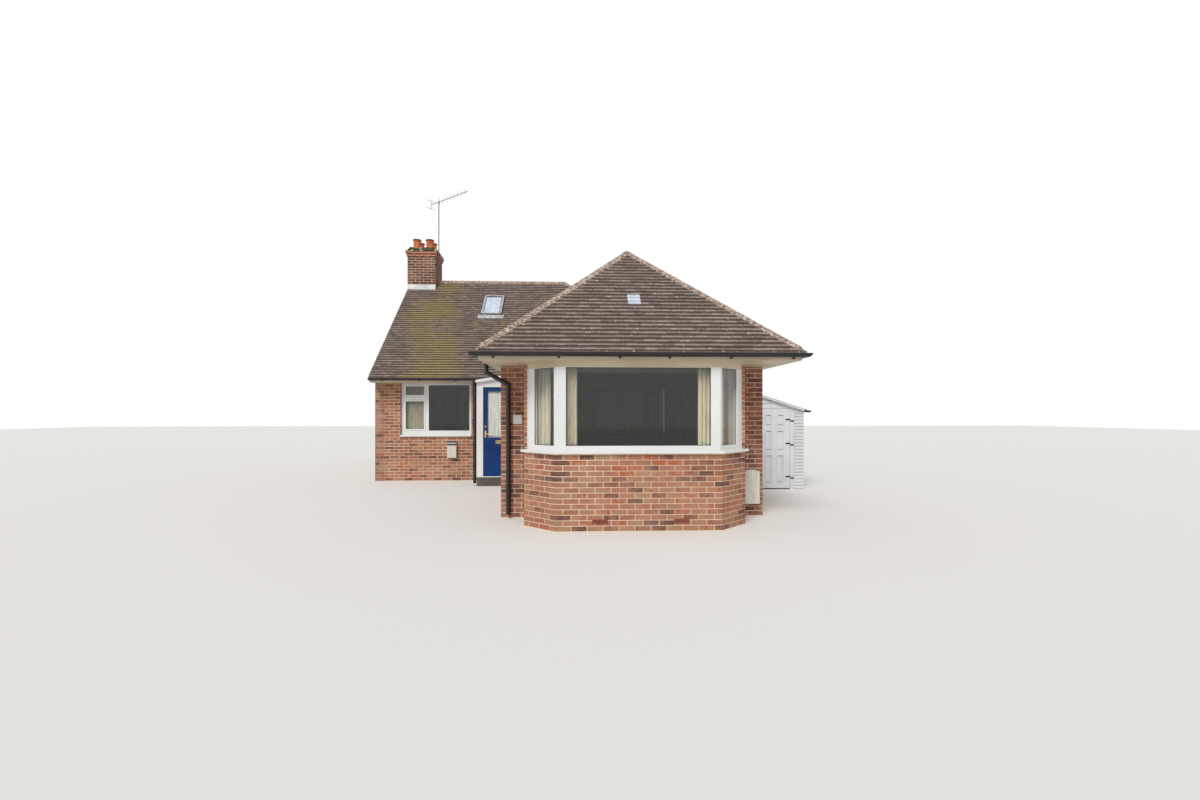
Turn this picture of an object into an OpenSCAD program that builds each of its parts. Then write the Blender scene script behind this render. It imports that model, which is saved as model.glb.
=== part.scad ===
// Semi-detached brick bungalow with a hipped front wing, a splayed bay window,
// a glazed porch, a main range with a chimney and a rooflight, and a side lean-to.
// The origin is at ground level, on the wing's centre line and in the outer face
// of the recessed front wall. +X is to the right seen from the street, +Y leads
// to the rear and +Z is up. Sizes are in millimetres.

/* [Plan] */
// Width of the front wing over its brick faces
wing_w = 4110; // [3950:10:4300]
// Distance from the recessed front wall forward to the wing's front wall
wing_d = 4950; // [4800:10:5200]
// Length of the recessed front wall from the wing to the party wall's outer face
recess_w = 3645; // [3600:5:3900]
// Depth of the main range over its brick faces
main_d = 6060; // [5800:10:6400]
// Height of the outer walls above ground
wall_h = 2362; // [2320:1:2420]
// Thickness of the outer cavity walls
wall_t = 270; // [240:5:300]
// Thickness of the party wall
party_t = 230; // [215:5:300]
// Height of the floor above ground
floor_h = 200; // [180:5:215]

/* [Bay window] */
// Distance of the bay's centre line to the left of the wing's centre line
bay_off = 30; // [0:5:60]
// How far the bay stands out from the wing's front wall
bay_d = 1110; // [1000:10:1200]
// Width of the bay's front face
bay_front_w = 2300; // [2200:10:2400]
// Width that each 45 degree splay takes up across the wing
bay_splay = 460; // [420:10:500]
// Thickness of the bay's brick walls
bay_wall_t = 230; // [215:5:270]
// Height of the brickwork under the windows
sill_z = 1070; // [1000:5:1120]
// Thickness of the window sills
sill_t = 35; // [25:1:50]
// How far the sills stand out from the brickwork
sill_over = 50; // [30:5:70]
// Depth of the bay window frame from outside to inside
bay_frame_t = 70; // [50:5:90]
// Distance of the bay window frame behind the brick face
bay_frame_set = 40; // [20:5:60]
// Height of the bay frame's bottom rail
bay_rail_low = 68; // [50:2:90]
// Height of the bay frame's top rail
bay_rail_top = 95; // [60:5:120]
// Width of the front pane
bay_pane_w = 2010; // [1900:10:2060]
// Width of each splayed pane
splay_pane_w = 410; // [360:5:430]
// Width of the post between the front pane's corner and a splayed pane
splay_post = 70; // [60:5:90]

/* [Eaves] */
// Overhang of the fascia beyond the side walls
side_over = 165; // [140:5:200]
// Overhang of the fascia beyond the main range's front and rear walls
main_over = 400; // [360:10:430]
// Overhang of the fascia beyond the bay's front face
bay_over = 60; // [40:5:90]
// Thickness of the fascia boards
fascia_t = 20; // [16:1:30]
// Height of the fascia boards
fascia_h = 98; // [90:1:120]
// Thickness of the soffit boards
soffit_t = 12; // [9:1:16]
// Outer radius of the main gutters
gutter_r = 56; // [50:1:60]
// Wall thickness of the gutters
gutter_t = 4; // [3:0.5:5]
// Radius of the downpipes
pipe_r = 34; // [30:1:38]
// Clear space between a downpipe and its wall
pipe_gap = 30; // [20:5:40]

/* [Roof] */
// Rise of every tiled slope for each unit of run
roof_tan = 0.875; // [0.8:0.005:0.95]
// Upright thickness of the tiles, battens and rafters together
roof_t = 160; // [140:5:180]
// Overhang of the tile edge beyond the fascia
tile_over = 50; // [40:5:60]
// Upright thickness of the tile edge
tile_edge = 22; // [18:1:30]
// Outer radius of the half-round hip and ridge tiles
hip_r = 115; // [110:5:130]
// Length of hip line that each half-round tile takes up
hip_pitch = 330; // [300:5:360]
// Width of the mortar joint between half-round tiles
hip_joint = 12; // [8:1:16]
// Depth of the axis of the half-round tiles under the line of the slopes
hip_drop = 100; // [90:1:104]

/* [Rooflight and glass tiles] */
// Distance of the rooflight's centre left of the wing's centre line
light_x = 3175; // [3100:5:3300]
// Plan distance of the rooflight's lower edge behind the recessed front wall
light_y = 1620; // [1550:5:1680]
// Width of the rooflight
light_w = 550; // [500:5:600]
// Length of the rooflight up the slope
light_len = 980; // [900:5:1000]
// Width of the rooflight's frame
light_rail = 58; // [50:1:70]
// Height of the rooflight above the tiles
light_rise = 55; // [40:1:70]
// Width of the patch of glass tiles in the wing's front slope
patch_w = 211; // [180:1:240]
// Length of the patch of glass tiles up the slope
patch_len = 270; // [240:5:300]
// Plan distance of the patch behind the wing's front tile edge
patch_run = 944; // [900:2:1000]

/* [Chimney] */
// Width and depth of the chimney stack
stack_w = 790; // [750:5:800]
// Height of the stack's plain brickwork above ground
stack_top = 6130; // [6000:10:6300]
// Height of the two oversailing courses
oversail_h = 150; // [140:5:170]
// How far the oversailing courses stand out
oversail = 45; // [30:5:60]
// Height of the sloped mortar on top of the stack
flaunch_h = 110; // [90:5:130]
// Outer radius of the chimney pots
pot_r = 108; // [100:2:115]
// Height of the chimney pots above the oversailing courses
pot_h = 380; // [340:10:420]
// Distance between the pots, centre to centre
pot_pitch = 365; // [340:5:380]
// Thickness of the sheet lead
lead_t = 5; // [3:1:6]
// Length of the aerial's mast
mast_len = 1880; // [1600:10:2000]
// Radius of the aerial's mast
mast_r = 13; // [10:1:16]
// Length of the aerial's boom
boom_len = 1650; // [1500:10:1800]

/* [Front windows] */
// Distance of the recessed window from the party wall's outer face
front_win_x = 600; // [560:5:650]
// Width of the recessed window
front_win_w = 1690; // [1650:5:1750]
// Depth of the window frames from outside to inside
frame_t = 70; // [60:5:80]
// Distance of the window frames behind the brick face
frame_set = 60; // [40:5:90]
// Width of the window frames' stiles and rails
frame_rail = 60; // [50:2:80]
// Thickness of the double glazing
glass_t = 24; // [20:1:28]
// Width of the column of opening lights in the recessed window
light_col_w = 656; // [600:2:700]
// Height of the transom's centre above the sill in the recessed window
transom_h = 885; // [850:5:920]

/* [Rear and side windows] */
// Width of the rear and side windows
plain_win_w = 1400; // [1200:10:1500]
// Distance of the left rear window from the party wall's outer face
rear_win_a = 900; // [800:10:1000]
// Distance of the right rear window from the right wall's outer face
rear_win_b = 700; // [600:10:800]
// Distance of the side window from the rear wall's outer face
side_win_y = 1500; // [1400:10:1700]
// Distance of the back door from the party wall's outer face
back_door_x = 3300; // [3200:10:3400]
// Width of the back door's opening
back_door_w = 900; // [860:10:940]

/* [Porch] */
// How far the porch stands out from the recessed front wall
porch_d = 1080; // [1050:5:1150]
// Width of the porch from the wing's side wall
porch_w = 1045; // [1030:5:1080]
// Width of the doorway between the porch and the hall
inner_door_w = 780; // [740:10:800]
// Height of the head of that doorway above ground
inner_door_h = 2110; // [2080:5:2150]
// Distance of that doorway from the wing's side wall
inner_door_x = 145; // [120:5:160]
// Slope of the porch roof for each unit of run
porch_tan = 0.163; // [0.14:0.001:0.18]
// Height of the porch roof's top at its low edge
porch_low_z = 2367; // [2350:1:2375]
// Upright thickness of the porch roof
porch_roof_t = 60; // [50:2:70]
// Overhang of the porch roof beyond its front
porch_over = 70; // [50:5:90]
// Outer radius of the porch and lean-to gutters
small_gutter_r = 45; // [40:1:50]

/* [Front door] */
// Width of the front door
door_w = 838; // [800:1:850]
// Height of the front door
door_h = 1981; // [1950:1:1990]
// Thickness of the front door
door_t = 44; // [40:1:50]
// Width of the porch frame's post on the hinge side
hinge_post = 55; // [50:1:65]
// Gap around each door
door_gap = 5; // [5:0.5:8]
// Height of the threshold strip above the floor
threshold_h = 18; // [12:1:20]
// Width of the door's stiles and top rail
door_rail = 84; // [70:1:100]
// Height of the bottom of the door's glass above the door's lower edge
door_glass_z = 845; // [800:5:900]
// Outer radius of the hinge knuckles
knuckle_r = 8; // [7:0.5:9]
// Radius of the hinge pins
pin_r = 4; // [3:0.5:4.5]
// Clearance between a hinge pin and its knuckle
pin_gap = 0.3; // [0.2:0.05:0.4]

/* [Lean-to] */
// Width of the lean-to from the wing's right wall
lean_w = 1925; // [1880:5:2000]
// Depth of the lean-to
lean_d = 2500; // [2300:10:2800]
// Distance of the lean-to's front in front of the recessed wall's line
lean_front = 1880; // [1800:10:1950]
// Thickness of the lean-to's boarded walls
lean_t = 50; // [40:5:70]
// Height of the lean-to roof's top at the house wall
lean_high_z = 2335; // [2320:1:2340]
// Fall of the lean-to roof for each unit of run
lean_tan = 0.32; // [0.31:0.002:0.33]
// Upright thickness of the lean-to roof
lean_roof_t = 40; // [36:1:44]
// Overhang of the lean-to roof beyond its walls
lean_over = 60; // [40:5:80]
// Width of the side door
side_door_w = 660; // [620:2:700]
// Height of the side door's top edge above ground
side_door_top = 1725; // [1690:5:1730]
// Gap under the side door
side_door_foot = 25; // [15:1:35]
// Thickness of the side door
side_door_t = 40; // [36:1:46]
// Distance of the side door from the lean-to's outer side
side_door_x = 295; // [285:5:320]

/* [Hidden] */
$fn = 48;
little = 0.3;
hair = 0.2;
brick_red = "#a8573c";
tile_brown = "#6b5b55";
upvc_white = "#f4f4f0";
board_cream = "#ded7c4";
pipe_black = "#1c1c1e";
glass_blue = "#a9c3cc";

// Brick faces in plan
x_right = wing_w / 2;
x_left = -wing_w / 2;
x_party = x_left - recess_w;
y_front = -wing_d;
y_rear = main_d;
bay_x = -bay_off;
bay_y = y_front - bay_d;

// Heights at the eaves
soffit_z = wall_h - soffit_t;
fascia_top = soffit_z + fascia_h;
eave_z = fascia_top + tile_edge;
gutter_z = fascia_top - 4;

// Fascia faces and tile edges in plan
fascia_x = x_right + side_over;
fascia_front = bay_y - bay_over;
fascia_main = -main_over;
fascia_rear = y_rear + main_over;
edge_x = fascia_x + tile_over;
edge_front = fascia_front - tile_over;
edge_main = fascia_main - tile_over;
edge_rear = fascia_rear + tile_over;

// Ridges, hips and the valley
wing_apex_y = edge_front + edge_x;
valley_y = edge_main + edge_x;
wing_top = eave_z + roof_tan * edge_x;
main_run = (edge_rear - edge_main) / 2;
ridge_y = edge_main + main_run;
main_top = eave_z + roof_tan * main_run;
ridge_x = edge_x - main_run;
slope_angle = atan(roof_tan);
foot_run = (roof_t - tile_edge) / roof_tan;
corner_tan = tan(22.5);

// Chimney stack
stack_x = x_party + stack_w;
stack_y0 = ridge_y - stack_w / 2;
stack_y1 = ridge_y + stack_w / 2;
stack_seat = roof_under(stack_y0 - edge_main) - 150;
oversail_top = stack_top + oversail_h;

// Height of a slope's tile surface, and of its underside, at a run from the edge
function roof_over(run) = eave_z + roof_tan * run;
function roof_under(run) = eave_z - roof_t + roof_tan * run;

// Corner points of the bay, moved inwards by the given distance
function bay_outline(inset) = [
    [bay_x - bay_front_w / 2 - bay_splay + inset, y_front],
    [bay_x - bay_front_w / 2 - bay_splay + inset, bay_y + bay_splay + inset * corner_tan],
    [bay_x - bay_front_w / 2 + inset * corner_tan, bay_y + inset],
    [bay_x + bay_front_w / 2 - inset * corner_tan, bay_y + inset],
    [bay_x + bay_front_w / 2 + bay_splay - inset, bay_y + bay_splay + inset * corner_tan],
    [bay_x + bay_front_w / 2 + bay_splay - inset, y_front]
];

// The four corners of the bay's front and splays
function bay_band(inset) = [for (i = [1:4]) bay_outline(inset)[i]];

// The same for the joinery, which stops a hair short of the brick returns
function joinery_band(inset) = [
    for (i = [1:4]) bay_outline(inset)[i] - [0, i == 1 || i == 4 ? hair : 0]
];

// Points of a list in the opposite order
function turned(points) = [for (i = [len(points) - 1:-1:0]) points[i]];

// Outline of the eaves, grown beyond the fascia's face by the given distance
function eaves_outline(grow) = [
    [x_party, fascia_main - grow],
    [-fascia_x - grow, fascia_main - grow],
    [-fascia_x - grow, fascia_front - grow],
    [fascia_x + grow, fascia_front - grow],
    [fascia_x + grow, fascia_rear + grow],
    [x_party, fascia_rear + grow]
];

// Box between two opposite corners
module block(low, high) {
    translate(low) cube(high - low);
}

// Profile given in Y and Z, extruded along X from one place to another
module along_x(x0, x1) {
    translate([x0, 0, 0]) rotate([90, 0, 90]) linear_extrude(x1 - x0) children();
}

// Profile given in X and Z, extruded along Y from one place to another
module along_y(y0, y1) {
    translate([0, y1, 0]) rotate([90, 0, 0]) linear_extrude(y1 - y0) children();
}

// Round rod between two points
module rod(a, b, r) {
    v = b - a;
    translate(a) rotate([0, acos(v[2] / norm(v)), atan2(v[1], v[0])]) cylinder(h = norm(v), r = r);
}

// Shape and its mirror image about the bay's centre line
module both_bay_sides() {
    children();
    translate([2 * bay_x, 0, 0]) mirror([1, 0, 0]) children();
}

// Places a shape on the right splay: X runs along it from the front corner, Y inwards
module on_splay() {
    translate([bay_x + bay_front_w / 2, bay_y, 0]) rotate([0, 0, 45]) children();
}

// Places a shape on the main front slope: Y runs up the slope, Z away from the tiles
module on_main_slope(x, y) {
    translate([x, y, roof_over(y - edge_main)]) rotate([slope_angle, 0, 0]) children();
}

// Places a shape on the wing's front slope in the same way
module on_wing_slope(x, run) {
    translate([x, edge_front + run, roof_over(run)]) rotate([slope_angle, 0, 0]) children();
}

// Floor inside the outer walls and the bay
module floor_slab() {
    inner = x_right - wall_t;
    bay = bay_outline(bay_wall_t);
    outline = [
        [x_party + party_t, wall_t], [-inner, wall_t], [-inner, y_front + wall_t],
        [bay[0][0], y_front + wall_t], bay[1], bay[2], bay[3], bay[4],
        [bay[5][0], y_front + wall_t], [inner, y_front + wall_t],
        [inner, y_rear - wall_t], [x_party + party_t, y_rear - wall_t]
    ];
    color("#8c8378") linear_extrude(floor_h) polygon(outline);
}

// Party wall with its corbelled eaves, notched for the chimney stack
module party_wall() {
    head = fascia_top - hair;
    color(brick_red) along_x(x_party, x_party + party_t) polygon([
        [0, 0], [y_rear, 0], [y_rear, soffit_z],
        [fascia_rear - fascia_t, soffit_z], [fascia_rear - fascia_t, head],
        [edge_rear - foot_run, head],
        [stack_y1, roof_under(edge_rear - stack_y1) - hair], [stack_y1, stack_seat],
        [stack_y0, stack_seat], [stack_y0, roof_under(stack_y0 - edge_main) - hair],
        [edge_main + foot_run, head],
        [fascia_main + fascia_t, head], [fascia_main + fascia_t, soffit_z],
        [0, soffit_z]
    ]);
}

// Positions of the openings in the rear and side walls
rear_a0 = x_party + rear_win_a;
rear_b0 = x_right - rear_win_b - plain_win_w;
rear_door0 = x_party + back_door_x;
side_y0 = y_rear - side_win_y - plain_win_w;

// Rear wall, open above its sills and at the back door up to the eaves
module rear_wall() {
    color(brick_red) along_y(y_rear - wall_t, y_rear) polygon([
        [x_party + party_t, 0], [rear_door0, 0], [rear_door0 + back_door_w, 0], [x_right, 0],
        [x_right, wall_h], [rear_b0 + plain_win_w, wall_h], [rear_b0 + plain_win_w, sill_z],
        [rear_b0, sill_z], [rear_b0, wall_h],
        [rear_door0 + back_door_w, wall_h], [rear_door0 + back_door_w, floor_h],
        [rear_door0, floor_h], [rear_door0, wall_h],
        [rear_a0 + plain_win_w, wall_h], [rear_a0 + plain_win_w, sill_z],
        [rear_a0, sill_z], [rear_a0, wall_h], [x_party + party_t, wall_h]
    ]);
}

// Long right wall with one window
module right_wall() {
    color(brick_red) along_x(x_right - wall_t, x_right) polygon([
        [y_front + wall_t, 0], [y_rear - wall_t, 0], [y_rear - wall_t, wall_h],
        [side_y0 + plain_win_w, wall_h], [side_y0 + plain_win_w, sill_z],
        [side_y0, sill_z], [side_y0, wall_h], [y_front + wall_t, wall_h]
    ]);
}

// Plain left wall of the wing
module wing_left_wall() {
    color(brick_red) block([x_left, y_front + wall_t, 0], [x_left + wall_t, 0, wall_h]);
}

// Two brick piers beside the bay's opening
module wing_front_wall() {
    bay = bay_outline(bay_wall_t);
    color(brick_red) {
        block([x_left, y_front, 0], [bay[0][0], y_front + wall_t, wall_h]);
        block([bay[5][0], y_front, 0], [x_right, y_front + wall_t, wall_h]);
    }
}

// Beam that carries the ceiling over the bay's opening
beam_h = 100;
beam_set = 40;
module bay_beam() {
    bay = bay_outline(bay_wall_t);
    color("#b9b4a8") block([bay[0][0], y_front + beam_set, wall_h - beam_h],
                           [bay[5][0], y_front + wall_t, wall_h]);
}

// Openings in the recessed front wall
win_x0 = x_party + front_win_x;
win_x1 = win_x0 + front_win_w;
inner_x1 = x_left - inner_door_x;
inner_x0 = inner_x1 - inner_door_w;

// Recessed front wall, open above the window's sill up to the eaves
module recess_wall() {
    color(brick_red) along_y(0, wall_t) polygon([
        [x_party + party_t, 0], [inner_x0, 0], [inner_x0, wall_h],
        [win_x1, wall_h], [win_x1, sill_z], [win_x0, sill_z], [win_x0, wall_h],
        [x_party + party_t, wall_h]
    ]);
}

// Brick pier between the hall doorway and the wing
module recess_pier() {
    color(brick_red) block([inner_x1, 0, 0], [x_left + wall_t, wall_t, wall_h]);
}

// Lintel over the hall doorway
module doorway_lintel() {
    color(brick_red) block([inner_x0, 0, inner_door_h], [inner_x1, wall_t, wall_h]);
}

// Brickwork under the bay's windows
module bay_plinth() {
    color(brick_red) linear_extrude(sill_z)
        polygon(concat(bay_band(0), turned(bay_band(bay_wall_t))));
}

// Square brick returns between the bay's splays and the wing
module bay_cheeks() {
    outer = bay_outline(0);
    inner = bay_outline(bay_wall_t);
    color(brick_red) both_bay_sides() linear_extrude(soffit_z)
        polygon([outer[0], outer[1], inner[1], inner[0]]);
}

// Sill and window board round the bay
module bay_sill() {
    color(upvc_white) translate([0, 0, sill_z]) linear_extrude(sill_t)
        polygon(concat(joinery_band(-sill_over), turned(joinery_band(bay_wall_t))));
}

// Glass heights in the bay
bay_foot_z = sill_z + sill_t;
bay_glass_z0 = bay_foot_z + bay_rail_low;
bay_glass_z1 = soffit_z - bay_rail_top;

// Opening or pane of the front light, between two distances behind the brick face
module front_pane(y0, y1) {
    block([bay_x - bay_pane_w / 2, bay_y + y0, bay_glass_z0],
          [bay_x + bay_pane_w / 2, bay_y + y1, bay_glass_z1]);
}

// The same for the two splayed lights
module splay_panes(y0, y1) {
    both_bay_sides() on_splay() block([splay_post, y0, bay_glass_z0],
        [splay_post + splay_pane_w, y1, bay_glass_z1]);
}

// White frame of the bay window with its corner posts
module bay_frame() {
    back = bay_frame_set + bay_frame_t;
    color(upvc_white) difference() {
        translate([0, 0, bay_foot_z]) linear_extrude(soffit_z - bay_foot_z)
            polygon(concat(joinery_band(bay_frame_set), turned(joinery_band(back))));
        front_pane(bay_frame_set - 1, back + 1);
        splay_panes(bay_frame_set - 1, back + 1);
    }
}

// Panes of the bay window
module bay_glass() {
    front = bay_frame_set + (bay_frame_t - glass_t) / 2;
    color(glass_blue, 0.4) {
        front_pane(front, front + glass_t);
        splay_panes(front, front + glass_t);
    }
}

// Ceiling joists and boards over the rooms, carried out to the fascia
module ceiling() {
    back = -fascia_t;
    line = eaves_outline(back);
    x0 = x_party + party_t;
    color("#d8d2c2") difference() {
        translate([0, 0, wall_h]) linear_extrude(fascia_top - wall_h)
            polygon([[x0, line[0][1]], line[1], line[2], line[3], line[4], [x0, line[5][1]]]);
        block([x0 - 1, stack_y0, wall_h - 1], [stack_x, stack_y1, fascia_top + 1]);
    }
}

// Boards under the eaves and over the bay
module soffit() {
    line = eaves_outline(-fascia_t);
    x0 = x_party + party_t;
    color(board_cream) translate([0, 0, soffit_z]) {
        linear_extrude(soffit_t) polygon([
            [x0, line[0][1]], line[1], line[2], line[3], line[4], [x0, line[5][1]],
            [x0, y_rear], [x_right, y_rear], [x_right, y_front],
            [x_left, y_front], [x_left, 0], [x0, 0]
        ]);
    }
}

// Boards along the edge of the eaves
module fascia() {
    color(board_cream) translate([0, 0, soffit_z]) linear_extrude(fascia_h)
        polygon(concat(eaves_outline(0), turned(eaves_outline(-fascia_t))));
}

// Tiled slope over a plan outline. Its edge starts at the given point, runs along
// the given heading and the slope rises to the left of it.
module slope(outline, start, heading, run, length) {
    intersection() {
        translate([0, 0, soffit_z]) linear_extrude(main_top) polygon(outline);
        translate([start[0], start[1], 0]) rotate([0, 0, heading]) along_x(0, length) polygon([
            [0, fascia_top], [0, eave_z], [run, roof_over(run)], [run, roof_under(run)],
            [foot_run, fascia_top]
        ]);
    }
}

// Plan outlines of the five slopes
wing_front_plan = [[-edge_x, edge_front], [edge_x, edge_front], [0, wing_apex_y]];
wing_left_plan = [[-edge_x, edge_front], [0, wing_apex_y], [0, valley_y], [-edge_x, edge_main]];
right_plan = [[edge_x, edge_front], [edge_x, edge_rear], [ridge_x, ridge_y],
              [0, valley_y], [0, wing_apex_y]];
main_front_plan = [[x_party, edge_main], [-edge_x, edge_main], [0, valley_y],
                   [ridge_x, ridge_y], [x_party, ridge_y]];
main_rear_plan = [[x_party, edge_rear], [x_party, ridge_y], [ridge_x, ridge_y],
                  [edge_x, edge_rear]];

// Front slope of the wing, with a pocket for the glass tiles
module roof_wing_front() {
    color(tile_brown) difference() {
        slope(wing_front_plan, [-edge_x, edge_front], 0, edge_x, 2 * edge_x);
        on_wing_slope(0, patch_run) translate([-patch_w / 2, 0, -glass_t])
            cube([patch_w, patch_len, 2 * glass_t]);
    }
}

// Left slope of the wing down to the valley
module roof_wing_left() {
    color(tile_brown)
        slope(wing_left_plan, [-edge_x, valley_y], -90, edge_x, valley_y - edge_front);
}

// Long right slope over the wing and the end of the main range
module roof_right() {
    color(tile_brown)
        slope(right_plan, [edge_x, edge_front], 90, main_run, edge_rear - edge_front);
}

// Room for the chimney stack through the slopes
module stack_hole() {
    block([x_party - 1, stack_y0, stack_seat], [stack_x, stack_y1, stack_top]);
}

// Front slope of the main range, cut for the stack and the rooflight
module roof_main_front() {
    color(tile_brown) difference() {
        slope(main_front_plan, [x_party, edge_main], 0, main_run, -x_party);
        stack_hole();
        on_main_slope(-light_x, light_y) translate([-light_w / 2, 0, -roof_t])
            cube([light_w, light_len, 2 * roof_t]);
    }
}

// Rear slope of the main range
module roof_main_rear() {
    color(tile_brown) difference() {
        slope(main_rear_plan, [edge_x, edge_rear], 180, main_run, edge_x - x_party);
        stack_hole();
    }
}

// Solid under the tile surface of one slope, down to the eaves
module slope_fill(outline, start, heading, run, length) {
    intersection() {
        translate([0, 0, soffit_z]) linear_extrude(main_top) polygon(outline);
        translate([start[0], start[1], 0]) rotate([0, 0, heading]) along_x(0, length)
            polygon([[0, soffit_z], [0, eave_z], [run, roof_over(run)], [run, soffit_z]]);
    }
}

// Solid under the tile surface of the whole roof
module roof_fill() {
    slope_fill(wing_front_plan, [-edge_x, edge_front], 0, edge_x, 2 * edge_x);
    slope_fill(wing_left_plan, [-edge_x, valley_y], -90, edge_x, valley_y - edge_front);
    slope_fill(right_plan, [edge_x, edge_front], 90, main_run, edge_rear - edge_front);
    slope_fill(main_front_plan, [x_party, edge_main], 0, main_run, -x_party);
    slope_fill(main_rear_plan, [edge_x, edge_rear], 180, main_run, edge_x - x_party);
}

// Cross-section of a half-round tile bedded on mortar
module bedded_round(r, skirt) {
    circle(r);
    translate([-r, -skirt]) square([2 * r, skirt]);
}

// Row of half-round tiles on a mortar bed from one point to another
module round_tiles(a, b, skirt) {
    v = b - a;
    length = norm(v);
    count = floor(length / hip_pitch);
    step = length / count;
    translate(a) rotate([0, 0, atan2(v[1], v[0])]) rotate([0, -asin(v[2] / length), 0])
        translate([0, 0, -hip_drop]) {
            along_x(0, length) bedded_round(hip_r - hip_joint, skirt);
            for (i = [0:count - 1])
                along_x(i * step + hip_joint, (i + 1) * step) bedded_round(hip_r, skirt);
        }
}

// Point on the wing's left or right front hip, or on the rear right hip
function wing_hip(side, run) = [side * (edge_x - run), edge_front + run, roof_over(run)];
function rear_hip(run) = [edge_x - run, edge_rear - run, roof_over(run)];
hip_start = 60;

// Block beyond an upright plane through a point, which a row of half-round tiles ends at
module beyond(point, turn, start) {
    reach = 4 * hip_r;
    translate([point[0], point[1], soffit_z]) rotate([0, 0, turn])
        translate([-reach, start, 0]) cube([2 * reach, reach, main_top]);
}

// Cuts a row of half-round tiles a hair short of upright planes through a point
module mitred(point, turns) {
    difference() {
        children();
        for (turn = turns) beyond(point, turn, -hair);
    }
}

// Half-round tiles over the four hips, mitred where they meet each other and a ridge
bend_turn = 22.5;
module hip_tiles() {
    past = hip_r / 2;
    color("#9a7f74") difference() {
        intersection() {
            union() {
                for (side = [-1, 1])
                    mitred([0, wing_apex_y], [0, side * 90])
                        round_tiles(wing_hip(side, hip_start), wing_hip(side, edge_x + past), hip_r);
                mitred([ridge_x, ridge_y], [90, 180])
                    round_tiles(rear_hip(hip_start), rear_hip(main_run + past), hip_r);
                mitred([ridge_x, ridge_y], [90, 0]) mitred([0, valley_y], [bend_turn + 180])
                    round_tiles([past, valley_y - past, roof_over(edge_x - past)],
                                [ridge_x - past, ridge_y + past, roof_over(main_run + past)], hip_r);
            }
            block([-edge_x, edge_front, eave_z], [edge_x, edge_rear, 2 * main_top]);
        }
        roof_fill();
    }
}

// Half-round tiles over the two ridges
module ridge_tiles() {
    color("#9a7f74") difference() {
        union() {
            difference() {
                round_tiles([0, wing_apex_y, wing_top], [0, valley_y + hip_r, wing_top], hip_r);
                beyond([0, valley_y], bend_turn, 0);
            }
            round_tiles([stack_x, ridge_y, main_top], [ridge_x, ridge_y, main_top], hip_r);
        }
        roof_fill();
    }
}

// Patch of clear tiles in the wing's front slope
module glass_tiles() {
    color("#cfe0ec") on_wing_slope(0, patch_run) translate([-patch_w / 2, 0, -glass_t])
        cube([patch_w, patch_len, glass_t]);
}

// Frame of the rooflight, through the slope and proud of the tiles
module rooflight_frame() {
    deep = roof_t * cos(slope_angle);
    color("#c9ccce") on_main_slope(-light_x, light_y) difference() {
        translate([-light_w / 2, 0, -deep]) cube([light_w, light_len, deep + light_rise]);
        translate([-light_w / 2 + light_rail, light_rail, -deep - 1])
            cube([light_w - 2 * light_rail, light_len - 2 * light_rail, deep + light_rise + 2]);
    }
}

// Pane of the rooflight
module rooflight_glass() {
    color(glass_blue, 0.5) on_main_slope(-light_x, light_y)
        translate([-light_w / 2 + light_rail, light_rail, light_rise - glass_t - 8])
            cube([light_w - 2 * light_rail, light_len - 2 * light_rail, glass_t]);
}

// Sheet lead round the foot of the chimney and under the rooflight
apron_side = 140;
apron_down = 150;
apron_up = 150;
light_apron_side = 70;
light_apron_down = 200;
module stack_apron() {
    foot = stack_y0 - edge_main;
    run = apron_down * cos(slope_angle);
    rise = lead_t / cos(slope_angle);
    along_x(x_party, stack_x + apron_side) polygon([
        [stack_y0 - run, roof_over(foot - run)], [stack_y0, roof_over(foot)],
        [stack_y0, roof_over(foot) + rise], [stack_y0 - run, roof_over(foot - run) + rise]
    ]);
    along_x(x_party, stack_x) polygon([
        [stack_y0, roof_over(foot)], [stack_y0, roof_over(foot) + apron_up],
        [stack_y0 - lead_t, roof_over(foot) + apron_up], [stack_y0 - lead_t, roof_over(foot - lead_t)]
    ]);
}

module lead_flashing() {
    color("#b9bcbd") {
        stack_apron();
        translate([0, 2 * ridge_y, 0]) mirror([0, 1, 0]) stack_apron();
        on_main_slope(-light_x, light_y)
            translate([-light_w / 2 - light_apron_side, -light_apron_down, 0])
                cube([light_w + 2 * light_apron_side, light_apron_down, lead_t]);
    }
}

// Half-round gutter profile, flat against the fascia, with its rim at height zero
module gutter_profile(r) {
    set = r - 3;
    intersection() {
        translate([-set, 0]) difference() {
            circle(r);
            circle(r - gutter_t);
            translate([-2 * r, 0]) square([4 * r, 2 * r]);
        }
        translate([-3 * r, -2 * r]) square([3 * r, 2 * r]);
    }
}

// Length of gutter with its back on local Y = 0, mitred by a run at each end
module gutter_run(start, heading, length, first, last, r, z) {
    out = 2 * r;
    translate([start[0], start[1], z]) rotate([0, 0, heading]) intersection() {
        translate([0, 0, -2 * r]) linear_extrude(3 * r) polygon([
            [0, 0], [length, 0], [length + last * out, -out], [-first * out, -out]
        ]);
        translate([-out, 0, 0]) along_x(0, length + 2 * out) gutter_profile(r);
    }
}

// Closed end of a gutter
module gutter_end(start, heading, r, z) {
    translate([start[0], start[1], z]) rotate([0, 0, heading]) along_x(0, gutter_t) intersection() {
        translate([3 - r, 0]) circle(r);
        translate([-3 * r, -2 * r]) square([3 * r, 2 * r]);
    }
}

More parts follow.
